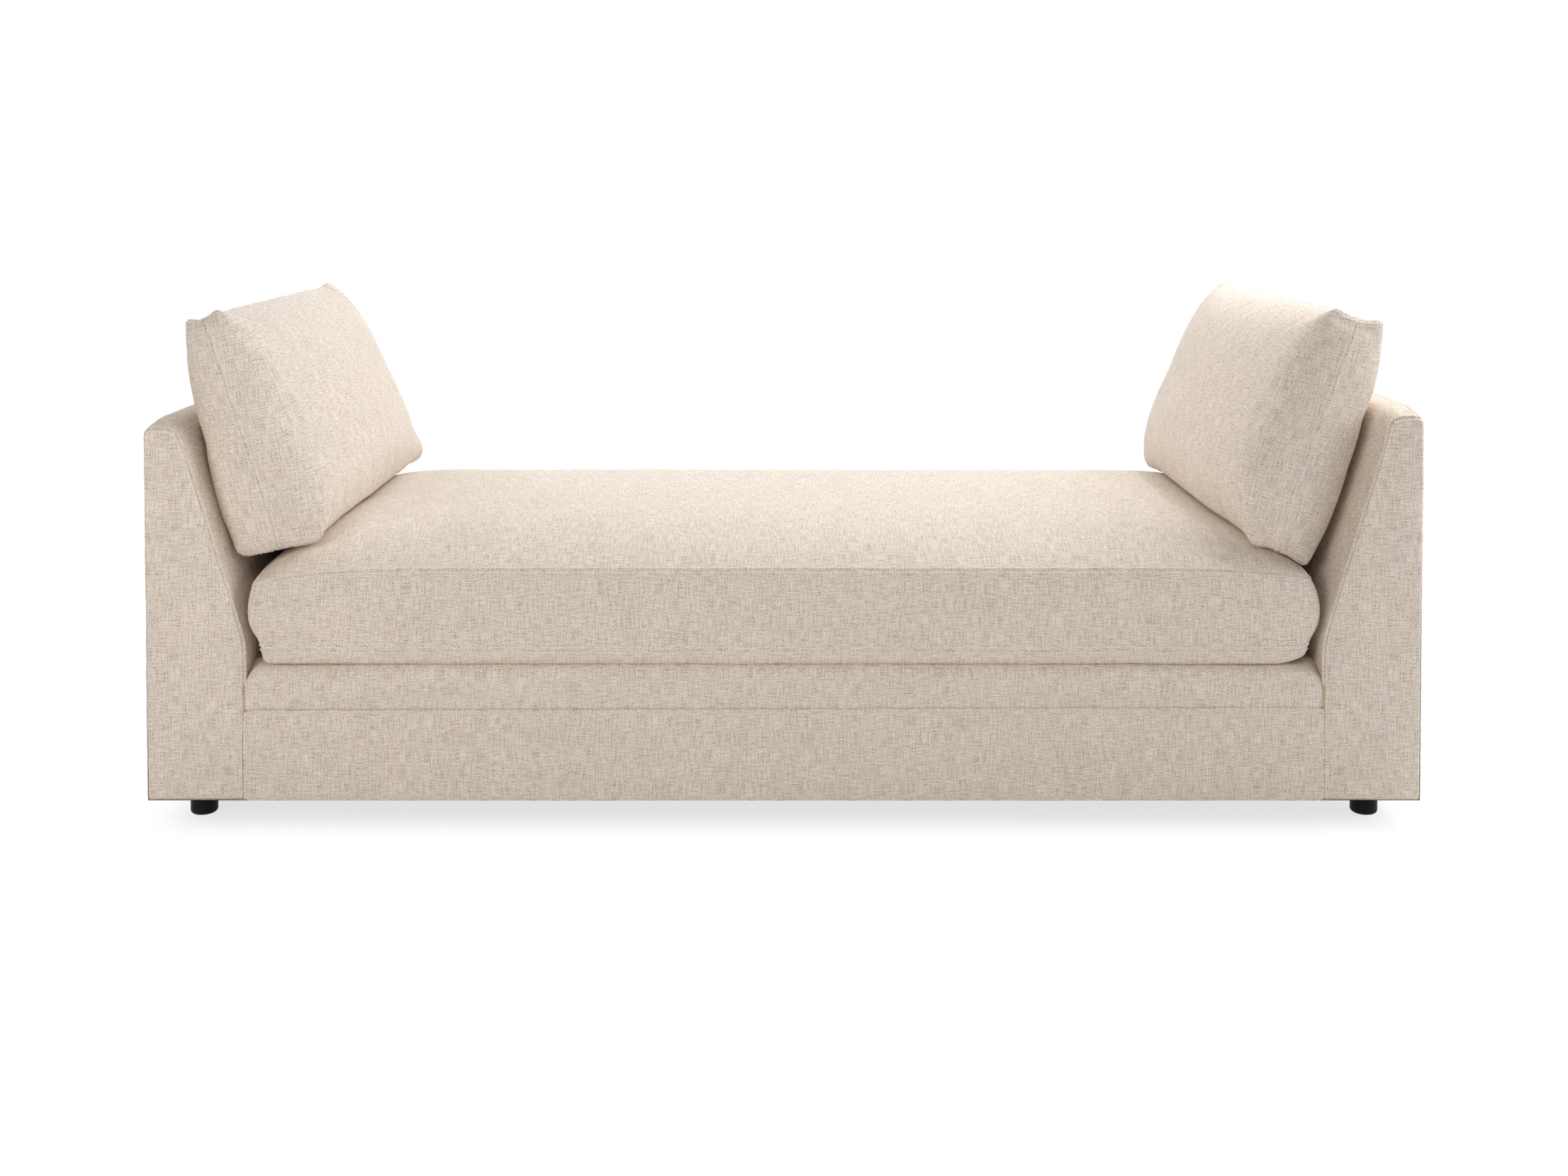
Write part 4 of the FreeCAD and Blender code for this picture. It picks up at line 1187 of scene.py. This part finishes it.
def inflate(piece, growth, pressure, cap, limits=1.0, steps=20):
    """Fills the cloth with air, and lets each point move by no more than its cap."""
    start = points_of(piece)
    activate(piece)
    cloth = piece.modifiers.new("Cloth", "CLOTH")
    rules = cloth.settings
    rules.quality = 6
    rules.mass = 0.2
    rules.tension_stiffness = rules.compression_stiffness = 12
    rules.shear_stiffness = 4
    rules.bending_stiffness = 0.3
    rules.use_pressure = True
    rules.uniform_pressure_force = pressure
    rules.effector_weights.gravity = 0
    rules.shrink_min = -growth
    for step in range(1, steps + 1):
        bpy.context.scene.frame_set(step)
    bpy.ops.object.modifier_apply(modifier=cloth.name)
    bpy.context.scene.frame_set(1)
    moves = points_of(piece) - start
    reach = np.linalg.norm(moves, axis=1)
    scale = np.minimum(1, cap * limits / np.maximum(reach, 1e-9))
    set_points(piece, start + moves * scale[:, None])


def make_seat():
    """The loose box cushion, inflated, creased and sewn."""
    s = sizes()
    half = Vector((SEAT_HIGH.x + SEAT_WIDER, abs(SEAT_LOW.y) - SEAT_SHALLOWER, 0))
    low = Vector((-half.x, -half.y, s.seat_low_seam))
    high = Vector((half.x, half.y, s.seat_top_seam))
    seat = add_box("seat_cushion", low, high)
    quilt(seat, high - low, s.seat_cell)
    axes, _ = face_axes(seat)

    def sewn(middle, run):
        at_side = close(abs(middle[0]), high.x) or close(abs(middle[1]), high.y)
        at_seam = close(middle[2], low.z) or close(middle[2], high.z)
        return abs(run[2]) < HAIR and at_side and at_seam

    flag_seams(seat, sewn)
    cage = points_of(seat)
    on_floor = cage[:, 2] < low.z + HAIR
    points = seat_shape(cage, low, high)
    set_points(seat, points)
    lay_weave(seat, axes, points, unrolled(points, on_floor, high))
    # the boxing stays flat for its zip, and the underside where it lies on the deck
    near_zip = smoothstep(high.y - ZIP_STRIP, high.y - 0.01, cage[:, 1])
    held = np.maximum(near_zip, on_floor & (cage[:, 1] < high.y - 0.03))
    inflate(seat, *SEAT_AIR, limits=1 - 0.9 * held)
    subdivide(seat)
    press_creases(seat)
    chains = press_seams(seat, 1.3)
    upholster(smooth(seat), "seat_cushion", ["seat_cushion_cover", "seat_cushion_core"])
    sew("seat_stitches", "seat_cushion", [seat], chains)


def unrolled(points, on_floor, high):
    """Places for the underside's weave: its rim moves out by its rise, as if it lay flat."""
    at_rim = np.abs(points[:, :2]) > np.array([high.x - 0.035, high.y - 0.02])
    rise = (points[:, 2] - SEAT_LOW.z) * on_floor
    level = points.copy()
    level[:, :2] += np.sign(points[:, :2]) * rise[:, None] * at_rim
    return level


def seat_shape(cage, low, high):
    """Crowned box: full top, boxing that bulges between its seams, underside on the deck."""
    s = sizes()
    x, y, z = cage.T.copy()
    ways = np.sign(cage)
    on_right = cage[:, 0] > 0
    on_top = cage[:, 2] > high.z - HAIR
    on_floor = cage[:, 2] < low.z + HAIR
    across, deep = np.abs(x) / high.x, np.abs(y) / high.y
    from_end, from_side = (1 - across) * high.x, (1 - deep) * high.y
    edge = np.minimum(from_side, from_end)
    rise = (z - low.z) / (high.z - low.z)

    # top seam, crown and underside
    drop = np.where(x < 0, CORNER_DROPS["left"], CORNER_DROPS["right"])
    z -= drop * across ** 10 * (0.35 + 0.65 * deep ** 6) * rise
    z += np.where(on_top, s.seat_crown * (1 - across ** 18) * (1 - deep ** 4.8), 0)
    roll = 1 - (1 - np.clip(edge / FLOOR_ROLL, 0, 1)) ** 4
    z -= np.where(on_floor, (low.z - SEAT_LOW.z - 0.002) * roll, 0)
    lift, lift_reach = (np.where(x < 0, *pair) for pair in zip(*FLOOR_LIFTS.values()))
    lift *= smoothstep(0, 1, 1 - from_end / lift_reach) * np.clip(edge / s.seat_cell, 0, 1)
    z += np.where(on_floor & (y < 0), lift, 0)

    # boxing
    full = s.seat_bulge * (1 - np.abs(2 * rise - 1) ** 2.2)
    bulge = full + LOW_SEAM_OUT * (1 - rise) ** 3
    drawn = np.where(on_right, TOP_SEAM_IN["right"], TOP_SEAM_IN["left"]) * rise ** 4
    end_bulge = 0.6 * full - LOW_SEAM_IN * (1 - rise) ** 4.5 - drawn
    on_ends = np.clip((across - 0.9) / 0.1, 0, 1) ** 3
    on_sides = np.clip((deep - 0.85) / 0.15, 0, 1) ** 3
    x, y = round_corner(np.abs(x), np.abs(y), (high.x, high.y), ((1, 0), (0, 1)), SEAT_CORNER)
    front = np.where(cage[:, 1] < 0, 1.0, 0.25)
    x = (x + end_bulge * on_ends) * ways[:, 0]
    y = (y + (bulge - SIDE_DRAW) * front * on_sides) * ways[:, 1]

    # the row beside the low seam hangs out over the deck
    hang = np.where(on_floor, np.exp(-(((edge - s.seat_cell) / HANG_REACH) ** 2)), 0)
    z -= HANG_DOWN * hang
    y += ways[:, 1] * np.where(from_side < from_end, HANG_OUT * hang, 0)
    x += ways[:, 0] * np.where(from_side < from_end, 0, HANG_OUT * hang)
    points = np.stack([x, y, z], axis=1)

    # gathers along the low front seam, and an uneven top
    at_front = smoothstep(-high.y * 0.93, -high.y, cage[:, 1])
    at_front *= smoothstep(high.z - 0.06, low.z, cage[:, 2])
    gathers = sum(np.exp(-(((cage[:, 0] - place) / reach) ** 2)) for place, reach in GATHERS)
    waves = unevenness(cage * np.array([1, 0, 0]), GATHER_WAVE, 9.0)
    points[:, 2] += at_front * (SEAM_WAVER + GATHER_RISE * gathers) * waves
    points[:, 1] += at_front * (SEAM_WAVER + GATHER_OUT * gathers) * np.abs(waves)
    lumps = unevenness(points, 0.3, 2.0) + 0.5 * unevenness(points, 0.13, 4.0)
    points[:, 2] += np.where(on_top, SEAT_LUMPS * lumps * np.clip(edge / 0.1, 0, 1), 0)
    return points


class DIVAN_OT_make_seat(bpy.types.Operator):
    """Makes the loose seat cushion."""

    bl_idname = "divan.make_seat"
    bl_label = "Seat cushion"

    def execute(self, context):
        make_seat()
        return {"FINISHED"}


# Pillows


PILLOW_WIDTH, PILLOW_HEIGHT = 0.131, 0.445  # of the box that a pillow is shaped from
PILLOW_AIR = (0.012, 2.5, 0.008)  # growth of the cloth, pressure, and how far a point may move
SEAT_GAP = 0.0015  # least gap between a pillow and the seat cushion
# The ears of a pillow's end, as distance from the middle of the divan and height
EARS = {
    "left": {"outer_foot": (0.984, 0.479), "inner_foot": (0.851, 0.505),
             "outer_head": (1.082, 0.914), "inner_head": (1.044, 0.928)},
    "right": {"outer_foot": (0.943, 0.458), "inner_foot": (0.834, 0.505),
              "outer_head": (1.085, 0.911), "inner_head": (1.018, 0.932)},
}
# How far parts of a pillow stand off the lines between those ears, outwards and up
SOFT_FOOTS = {"left": (0.0, 0.0), "right": (0.026, 0.016)}  # outer foot between the ends
FRONT_FOOT_SHIFTS = {"left": (0.0, 0.0), "right": (0.026, -0.010)}  # inner foot at the front
BACK_FOOT_SHIFTS = {"left": (-0.018, 0.020), "right": (0.0, 0.0)}  # inner foot at the back
BACK_HEAD_LIFTS = {"left": 0.0, "right": 0.003}  # inner head at the back
FOOT_SAGS = {"left": 0.014, "right": 0.002}  # how far an end sags between its foot ears
INNER_BULGES = {"left": 0.078, "right": 0.080}
OUTER_BULGE, END_BULGE, HEAD_BULGE, FOOT_BULGE = 0.041, 0.034, 0.002, 0.004
EAR_REACH, EAR_SPREAD, EAR_PULL = 0.022, 0.008, 0.011  # size of an ear, and how far it stands out


def make_pillow(side):
    """A loose pillow, inflated, laid on the seat, creased and sewn."""
    s = sizes()
    body = f"{side}_pillow"
    low = Vector((0, -s.pillow_half, 0))
    high = Vector((PILLOW_WIDTH, s.pillow_half, PILLOW_HEIGHT))
    pillow = add_box(body, low, high)
    quilt(pillow, high - low, s.cell, even=(0,))
    axes, _ = face_axes(pillow)

    def sewn(middle, run):
        if abs(run[0]) > HAIR:
            at_rim = close(middle[2], 0) or close(middle[2], high.z)
            return close(abs(middle[1]), high.y) and at_rim
        return close(middle[0], high.x / 2)

    flag_seams(pillow, sewn)
    shares = (points_of(pillow) - np.array(low)) / np.array(high - low)
    points, flat = pillow_shape(side, shares)
    lay_weave(pillow, axes, flat)
    set_points(pillow, points)
    with editing(pillow, "FACE"):
        bpy.ops.mesh.select_all(action="SELECT")
        bpy.ops.mesh.normals_make_consistent(inside=False)
    inflate(pillow, *PILLOW_AIR)
    rest_on_seat(pillow)
    subdivide(pillow)
    press_creases(pillow)
    chains = press_seams(pillow, 1.6)
    upholster(smooth(pillow), body, [f"{side}_pillow_cover", f"{side}_pillow_insert"])
    sew(f"{side}_pillow_stitches", body, [pillow], chains)


def rest_on_seat(pillow):
    """Lifts what would sink into the seat cushion up to its top."""
    tree = tree_of(bpy.data.objects["seat_cushion"])
    points = points_of(pillow)
    for index, spot in enumerate(points):
        above = Vector((spot[0], spot[1], SEAT_HIGH.z + 0.1))
        top = tree.ray_cast(above, Vector((0, 0, -1)))[0]
        if top is not None:
            points[index, 2] = max(spot[2], top.z + SEAT_GAP)
    set_points(pillow, points)


def pillow_shape(side, shares):
    """Puffed pillow that leans on its arm.

    Takes each point's shares of the box. Gives the points, and the same points laid straight
    for the weave.
    """
    half = sizes().pillow_half
    ears = {name: np.array(spot) for name, spot in EARS[side].items()}
    in_share, along_share, up_share = shares.T
    along = 2 * along_share - 1
    far = np.abs(along)
    spread = 2 * in_share - 1
    level = np.abs(2 * up_share - 1)
    weights = {
        "outer_foot": (1 - up_share) * (1 - in_share), "inner_foot": (1 - up_share) * in_share,
        "outer_head": up_share * (1 - in_share), "inner_head": up_share * in_share,
    }

    # the plane of the ends, from ear to ear
    plane = sum(weights[name][:, None] * ears[name] for name in ears)

    def shift(weight, way):
        return weight[:, None] * np.array(way)

    plane += shift(weights["outer_foot"] * (1 - smoothstep(0.72, 1.0, far)), SOFT_FOOTS[side])
    plane += shift(weights["inner_head"] * smoothstep(0.5, 1.0, along),
                   (0, BACK_HEAD_LIFTS[side]))
    back_foot = in_share * (1 - smoothstep(0, 0.2, up_share)) * smoothstep(0.6, 1.0, along)
    plane += shift(back_foot, BACK_FOOT_SHIFTS[side])
    front_foot = in_share * (1 - smoothstep(0, 0.3, up_share)) * smoothstep(-0.4, -1.0, along)
    plane += shift(front_foot, FRONT_FOOT_SHIFTS[side])
    up_way = ears["outer_head"] - ears["outer_foot"]
    up_way /= np.linalg.norm(up_way)
    in_way = np.array([-up_way[1], up_way[0]])

    # the two faces, the ends, the head and the foot
    tall = (1 - level ** 3.6) ** 0.62
    long = 0.62 + 0.38 * (1 - far ** 2.6)
    push = in_share * INNER_BULGES[side] - (1 - in_share) * OUTER_BULGE
    plane += shift(push * tall * long, in_way)
    wide = np.clip(1 - np.abs(spread) ** 2.4, 0, 1) ** 0.7
    tall_end = np.clip(1 - level ** 2.6, 0, 1) ** 0.6
    y = along * half + np.where(far > 0.9999, np.sign(along) * END_BULGE * tall_end * wide, 0)
    fall_off = wide * (1 - far ** 3)
    top = np.where(up_share > 0.9999, HEAD_BULGE * fall_off, 0)
    bottom = np.where(up_share < 0.0001, FOOT_BULGE * fall_off, 0)
    plane += shift(top - bottom, up_way)
    near_foot = np.exp(-((up_share * PILLOW_HEIGHT / 0.03) ** 2))
    plane[:, 1] -= FOOT_SAGS[side] * wide * far ** 4 * near_foot

    # the ears stand out
    from_rim = np.minimum(up_share, 1 - up_share) * PILLOW_HEIGHT
    ear = np.exp(-(((1 - far) * half / EAR_REACH) ** 2)) * np.exp(-((from_rim / EAR_REACH) ** 2))
    plane += shift(EAR_SPREAD * ear * spread, in_way)
    pull = np.where(up_share > 0.5, EAR_PULL, -EAR_PULL) * ear * (spread ** 2 - 0.6)
    plane += shift(pull, up_way)
    points = np.stack([SIDES[side] * plane[:, 0], y, plane[:, 1]], axis=1)
    straight = plane - ears["outer_foot"]
    return points, np.stack([straight @ in_way, y, straight @ up_way], axis=1)


class DIVAN_OT_make_pillows(bpy.types.Operator):
    """Makes the two loose pillows."""

    bl_idname = "divan.make_pillows"
    bl_label = "Pillows"

    def execute(self, context):
        for side in SIDES:
            make_pillow(side)
        return {"FINISHED"}


# Deck, dust cloth and zips


DECK_LOW, DECK_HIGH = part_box("deck_cover")
DUST_LOW, DUST_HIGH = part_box("dust_cover")
DECK_CELL, DUST_CELL = 0.03, 0.04  # sides of the squares of the two cloths
DECK_CROWN, DECK_WRINKLE = 0.0022, 0.0007
DUST_SAG = 0.006
FOOT_ROOM = 0.0015  # gap between a foot and its hole in the dust cloth
FEET = [f"{end}_{side}_foot" for end in ENDS for side in SIDES]
STAPLE = (0.011, 0.0012, 0.0009)
STAPLE_INSET, STAPLE_DROP = 0.014, 0.0001  # how far in from the edge, and how far below
STAPLE_TURN = 0.3  # how far askew a staple may be, in radians
TOOTH_PITCH, TOOTH_STEP = 0.002, 0.0009  # along the zip, and to its two sides
TOOTH = (0.6 * TOOTH_PITCH, 0.0014, 0.0026)  # length, height off the tape, width
TAPE_CUTS = 60
JAW_HEIGHT = 0.010  # of a slider's body
PULL_SHARE = 0.6  # how much of the frame's box below the body a slider's pull takes up


def make_deck_cloth():
    """Plain cloth stretched over the deck, a little crowned and wrinkled."""
    deck = add_box("deck_cloth", DECK_LOW, DECK_HIGH)
    size = DECK_HIGH - DECK_LOW
    # its thin edge is sliced as finely, so that smoothing leaves it where it is
    quilt(deck, (size.x, 0, size.y), DECK_CELL)
    split_along(deck, 1, round(size.y / DECK_CELL))
    points = points_of(deck)
    across, deep = points[:, 0] / DECK_HIGH.x, points[:, 1] / DECK_HIGH.y
    points[:, 2] += DECK_CROWN * (1 - across ** 6) * (1 - deep ** 4)
    wrinkles = unevenness(points * np.array([1, 0.4, 0]), 0.05, 1.0)
    points[:, 2] += DECK_WRINKLE * wrinkles * (1 - deep ** 8)
    set_points(deck, points)
    subdivide(deck)
    smooth(deck, 50)
    finish(deck, "frame", "deck_cloth", ["deck_cover"])


def make_dust_cloth():
    """Black cloth stapled under the frame, sagging between its rails, with a hole per foot."""
    dust = add_box("dust_cloth", DUST_LOW, DUST_HIGH)
    size = DUST_HIGH - DUST_LOW
    for axis in (0, 1):
        split_along(dust, axis, round(size[axis] / DUST_CELL))
    points = points_of(dust)
    across, deep = np.abs(points[:, 0] / DUST_HIGH.x), np.abs(points[:, 1] / DUST_HIGH.y)
    sag = DUST_SAG * (1 - across ** 5) * (1 - deep ** 2.5)
    points[:, 2] -= sag * (1 + 0.3 * unevenness(points, 0.2, 6.0))
    set_points(dust, points)
    for foot in FEET:
        low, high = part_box(foot)
        middle = (low + high) / 2
        deselect()
        bpy.ops.mesh.primitive_cylinder_add(
            vertices=48, radius=(high.x - low.x) / 2 + FOOT_ROOM, depth=0.06,
            location=(middle.x, middle.y, DUST_LOW.z))
        punch = bpy.context.active_object
        apply_modifier(dust, "BOOLEAN", operation="DIFFERENCE", object=punch, solver="EXACT")
        bpy.data.objects.remove(punch)
    smooth(dust, 40)
    finish(dust, "frame", "dust_cloth", ["dust_cover"])


def small_box(name, size, bevel=0.0003):
    """A bevelled box about the origin."""
    made = add_box(name, [-side / 2 for side in size], [side / 2 for side in size])
    apply_modifier(made, "BEVEL", width=bevel, segments=1)
    return made


def copies(name, shape, places, turns):
    """One piece of a shape repeated at places, turned about the upright axis."""
    corners, faces = points_of(shape), faces_of(shape)
    placed = []
    for place, turn in zip(places, turns):
        cos, sin = math.cos(turn), math.sin(turn)
        spun = corners @ np.array([[cos, sin, 0], [-sin, cos, 0], [0, 0, 1]])
        placed.append(spun + np.array(place))
    bpy.data.objects.remove(shape)
    return smooth(repeated(name, faces, placed), 40)


def make_staples():
    """Staples that hold the dust cloth's edges."""
    places, turns = [], []
    for axis, number, margin, turned in ((0, 40, 0.05, 0), (1, 14, 0.06, math.pi / 2)):
        other = 1 - axis
        for run in np.linspace(DUST_LOW[axis] + margin, DUST_HIGH[axis] - margin, number):
            for edge in (DUST_LOW[other] + STAPLE_INSET, DUST_HIGH[other] - STAPLE_INSET):
                place = [0, 0, DUST_LOW.z - STAPLE_DROP]
                place[axis], place[other] = run, edge
                places.append(place)
                turns.append(turned + STAPLE_TURN * noise.noise(Vector((run * 9, edge, 0))))
    staples = copies("dust_cloth_staples", small_box("staple", STAPLE), places, turns)
    finish(staples, "frame", "zinc_steel")


def facing_axis(out):
    """The number of the axis that a way runs along."""
    return max(range(3), key=lambda number: abs(out[number]))


def make_zip(node, body, axis, out):
    """Tape and teeth of a zip along an axis. Out is the way that the teeth face."""
    low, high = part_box(node)
    name = node.replace("cushion_zip", "zip_tape").replace("pillow_zip", "pillow_zip_tape")
    tape = add_box(name, low, high)
    split_along(tape, axis, TAPE_CUTS)
    apply_modifier(tape, "BEVEL", width=0.0004, segments=2)
    finish(smooth(tape, 40), body, "zip_tape", [node])
    face = facing_axis(out)
    rest = ({0, 1, 2} - {axis, face}).pop()
    size = [0, 0, 0]
    size[axis], size[face], size[rest] = TOOTH
    middle = (low + high) / 2
    middle[face] = high[face] if out[face] > 0 else low[face]
    places = []
    for number in range(int((high[axis] - low[axis]) / TOOTH_PITCH)):
        place = middle.copy()
        place[axis] = low[axis] + (number + 0.5) * TOOTH_PITCH
        place[rest] += TOOTH_STEP if number % 2 else -TOOTH_STEP
        places.append(place)
    teeth = copies(name.replace("tape", "teeth"), small_box("tooth", size), places,
                   [0] * len(places))
    finish(teeth, body, "zip_metal")


def make_slider(node, body, axis, out):
    """Body, bridge and pull of a zip slider, in the frame's box for it."""
    low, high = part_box(node)
    face = facing_axis(out)
    jaw = high.z - JAW_HEIGHT
    near, far = (low[face], high[face]) if out[face] > 0 else (high[face], low[face])
    # each part: shares of the length and of the depth, low and high end, and bevel
    blocks = (
        ((0, 1), (0, 0.45), (jaw, high.z), 0.0011),
        ((0.25, 0.75), (0.4, 0.85), (jaw + 0.002, high.z - 0.002), 0.0008),
        ((0.28, 0.72), (0.55, 1), (jaw - PULL_SHARE * (jaw - low.z), jaw + 0.005), 0.0007),
    )
    parts = []
    for along, deep, tall, bevel in blocks:
        first, last = Vector(), Vector()
        first[axis], last[axis] = (low[axis] + share * (high[axis] - low[axis])
                                   for share in along)
        first[face], last[face] = sorted(near + (far - near) * share for share in deep)
        first.z, last.z = tall
        parts.append(add_box("slider_part", first, last))
        apply_modifier(parts[-1], "BEVEL", width=bevel, segments=3)
    activate(parts[0])
    for part in parts:
        part.select_set(True)
    bpy.ops.object.join()
    name = node.replace("cushion_", "").replace("_zip_slider", "_zip_pull")
    slider = named(bpy.context.active_object, name)
    finish(smooth(slider, 40), body, "zip_metal", [node])


class DIVAN_OT_make_deck(bpy.types.Operator):
    """Makes the deck cloth, and the dust cloth with its staples."""

    bl_idname = "divan.make_deck"
    bl_label = "Deck and dust cloth"

    def execute(self, context):
        make_deck_cloth()
        make_dust_cloth()
        make_staples()
        return {"FINISHED"}


class DIVAN_OT_make_zips(bpy.types.Operator):
    """Makes the zips of the seat cushion and the pillows, with their sliders."""

    bl_idname = "divan.make_zips"
    bl_label = "Zips"

    def execute(self, context):
        make_zip("seat_cushion_zip", "seat_cushion", 0, (0, 1, 0))
        make_slider("seat_cushion_zip_slider", "seat_zip_slider", 0, (0, 1, 0))
        for side, sign in SIDES.items():
            make_zip(f"{side}_pillow_zip", f"{side}_pillow", 1, (0, 0, -1))
            make_slider(f"{side}_pillow_zip_slider", f"{side}_zip_slider", 1, (sign, 0, 0))
        return {"FINISHED"}


class DIVAN_OT_paint_frame(bpy.types.Operator):
    """Gives every node of the frame the material of its slot."""

    bl_idname = "divan.paint_frame"
    bl_label = "Frame's materials"

    def execute(self, context):
        for part in frame["record"]["subparts"]:
            node = frame["nodes"][part["node"]]
            slot = part["material_slot"]
            node.data.materials.clear()
            node.data.materials.append(material("frame_cloth" if slot == "upholstery" else slot))
        return {"FINISHED"}


# Stage


CAMERA_PLACE = (0, -3.665, 1.1771)
CAMERA_PITCH = 0.0159
CAMERA_LENS = 41.19
CAMERA_SHIFT = -0.2459
CAMERA_SENSOR = 36
FLOOR_SIZE = 28
WORLD_LEVEL = 0.01
PLAIN = (1.0, 0.99, 0.98)
COOL = (0.94, 0.97, 1.0)
# Place, aim, width and depth, power, colour
LAMPS = {
    "overhead_back": ((0, 1.8, 3.0), (0, 0.1, 0.4), (3.6, 1.6), 63, COOL),
    "overhead_right": ((2.2, 0.6, 3.0), (0, 0.1, 0.4), (2.4, 2.4), 82, COOL),
    "front_left": ((-2.6, -4.0, 1.9), (0, 0, 0.4), (2.4, 2.0), 76, PLAIN),
    "front_low": ((0, -4.2, 0.7), (0, 0, 0.4), (4.0, 0.9), 10, PLAIN),
    "front_high": ((0, -3.4, 3.3), (0, 0, 0.4), (3.6, 1.6), 24, PLAIN),
    "right": ((4.2, -0.8, 1.6), (0, 0, 0.5), (2.0, 2.0), 68, COOL),
    "back_left": ((-3.2, 2.4, 2.2), (0, 0, 0.5), (2.0, 2.0), 57, COOL),
}
SHADOW_BASE = 0.73  # how pale the floor's shadow is, where 1 is white
SHADOW_SHARE = 0.43  # how much of the floor's own light it shows there
SHADOW_INSET, SHADOW_REACH = 0.1, 0.2  # where the shadow starts to fade, and over what length


def add_light(name, place, aim, size, power, colour):
    """A soft square lamp that looks at a place."""
    deselect()
    bpy.ops.object.light_add(type="AREA", location=place)
    lamp = bpy.context.active_object
    lamp.name = name
    lamp.data.shape = "RECTANGLE"
    lamp.data.size, lamp.data.size_y = size
    lamp.data.energy = power
    lamp.data.color = colour
    lamp.rotation_euler = (Vector(aim) - Vector(place)).to_track_quat("-Z", "Y").to_euler()


def paint_floor(name):
    """Pale floor that a camera or a mirror sees as white, with only its shadow left."""
    made, g, shader = new_material(name)
    pale = colours().floor
    colour = g.mix(g.even_noise(3, detail=4), rgba(darker(pale, 0.98)), rgba(pale))
    g.feed(shader.inputs["Base Color"], colour)
    set_shader(shader, Roughness=0.9, Specular_IOR_Level=0.1)
    spot = g.add("ShaderNodeSeparateXYZ", {0: g.place()})
    past = {axis: g.maths("MAXIMUM", g.maths("SUBTRACT", g.maths("ABSOLUTE", spot.outputs[axis]),
                                             CAD_BOX[1][axis] - SHADOW_INSET), 0)
            for axis in (0, 1)}
    past = g.add("ShaderNodeCombineXYZ", past).outputs[0]
    far = g.add("ShaderNodeVectorMath", {0: past}, operation="LENGTH").outputs["Value"]
    span = {"Value": far, "From Min": 0, "From Max": SHADOW_REACH, "To Min": 1, "To Max": 0}
    near = g.add("ShaderNodeMapRange", span, interpolation_type="SMOOTHERSTEP").outputs[0]
    share = g.remap(near, 0, 1, 1.0, 1 - SHADOW_SHARE)
    level = g.remap(near, 0, 1, 1.0, SHADOW_BASE / (1 - SHADOW_SHARE))
    glow = g.add("ShaderNodeEmission", {"Color": (1, 1, 1, 1), "Strength": level})
    seen = g.maths("MULTIPLY", g.looked_at(), share)
    mix = g.add("ShaderNodeMixShader", {0: seen, 1: shader.outputs[0], 2: glow.outputs[0]})
    out = next(node for node in made.node_tree.nodes if node.type == "OUTPUT_MATERIAL")
    g.feed(out.inputs["Surface"], mix.outputs[0])
    return made


PAINTS["floor"] = paint_floor


def make_world():
    """A world that looks white and gives hardly any light."""
    world = bpy.data.worlds.new("studio")
    bpy.context.scene.world = world
    world.use_nodes = True
    world.node_tree.nodes.clear()
    g = Graph(world.node_tree)
    level = g.remap(g.looked_at(), 0, 1, WORLD_LEVEL, 1.0)
    sky = g.add("ShaderNodeBackground", {"Color": (1, 1, 1, 1), "Strength": level})
    g.add("ShaderNodeOutputWorld", {"Surface": sky.outputs[0]})


class DIVAN_OT_make_stage(bpy.types.Operator):
    """Sets up the floor, the soft lights, the world and the camera."""

    bl_idname = "divan.make_stage"
    bl_label = "Stage"

    def execute(self, context):
        scene = context.scene
        scene.view_settings.view_transform = "Standard"
        deselect()
        bpy.ops.mesh.primitive_plane_add(size=FLOOR_SIZE, location=(0, 0, 0))
        floor = named(context.active_object, "floor")
        floor.data.materials.append(material("floor"))
        make_world()
        for name, lamp in LAMPS.items():
            add_light(name, *lamp)
        deselect()
        bpy.ops.object.camera_add(location=CAMERA_PLACE,
                                  rotation=(math.pi / 2 - CAMERA_PITCH, 0, 0))
        camera = context.active_object
        camera.data.sensor_width = CAMERA_SENSOR
        camera.data.lens = CAMERA_LENS
        camera.data.shift_y = CAMERA_SHIFT
        scene.camera = camera
        return {"FINISHED"}


class DIVAN_PT_panel(bpy.types.Panel):
    """Lists the sizes, the colours and the steps."""

    bl_idname = "DIVAN_PT_panel"
    bl_label = "Backless divan"
    bl_space_type = "VIEW_3D"
    bl_region_type = "UI"
    bl_category = "Divan"

    def draw(self, context):
        for group in (context.scene.divan_sizes, context.scene.divan_colours):
            for name in group.__annotations__:
                self.layout.prop(group, name)
        for step in STEPS:
            self.layout.operator(step.bl_idname)


STEPS = (
    DIVAN_OT_make_stage,
    DIVAN_OT_make_arms,
    DIVAN_OT_make_rails,
    DIVAN_OT_make_seat,
    DIVAN_OT_make_pillows,
    DIVAN_OT_make_deck,
    DIVAN_OT_make_zips,
    DIVAN_OT_paint_frame,
)
CLASSES = (DivanSizes, DivanColours, *STEPS, DIVAN_PT_panel)


def register():
    for each in CLASSES:
        bpy.utils.register_class(each)
    bpy.types.Scene.divan_sizes = bpy.props.PointerProperty(type=DivanSizes)
    bpy.types.Scene.divan_colours = bpy.props.PointerProperty(type=DivanColours)


def unregister():
    del bpy.types.Scene.divan_colours
    del bpy.types.Scene.divan_sizes
    for each in reversed(CLASSES):
        bpy.utils.unregister_class(each)


def main():
    register()
    for step in STEPS:
        name = step.bl_idname.split(".")[1]
        getattr(bpy.ops.divan, name)()


if __name__ == "__main__":
    main()
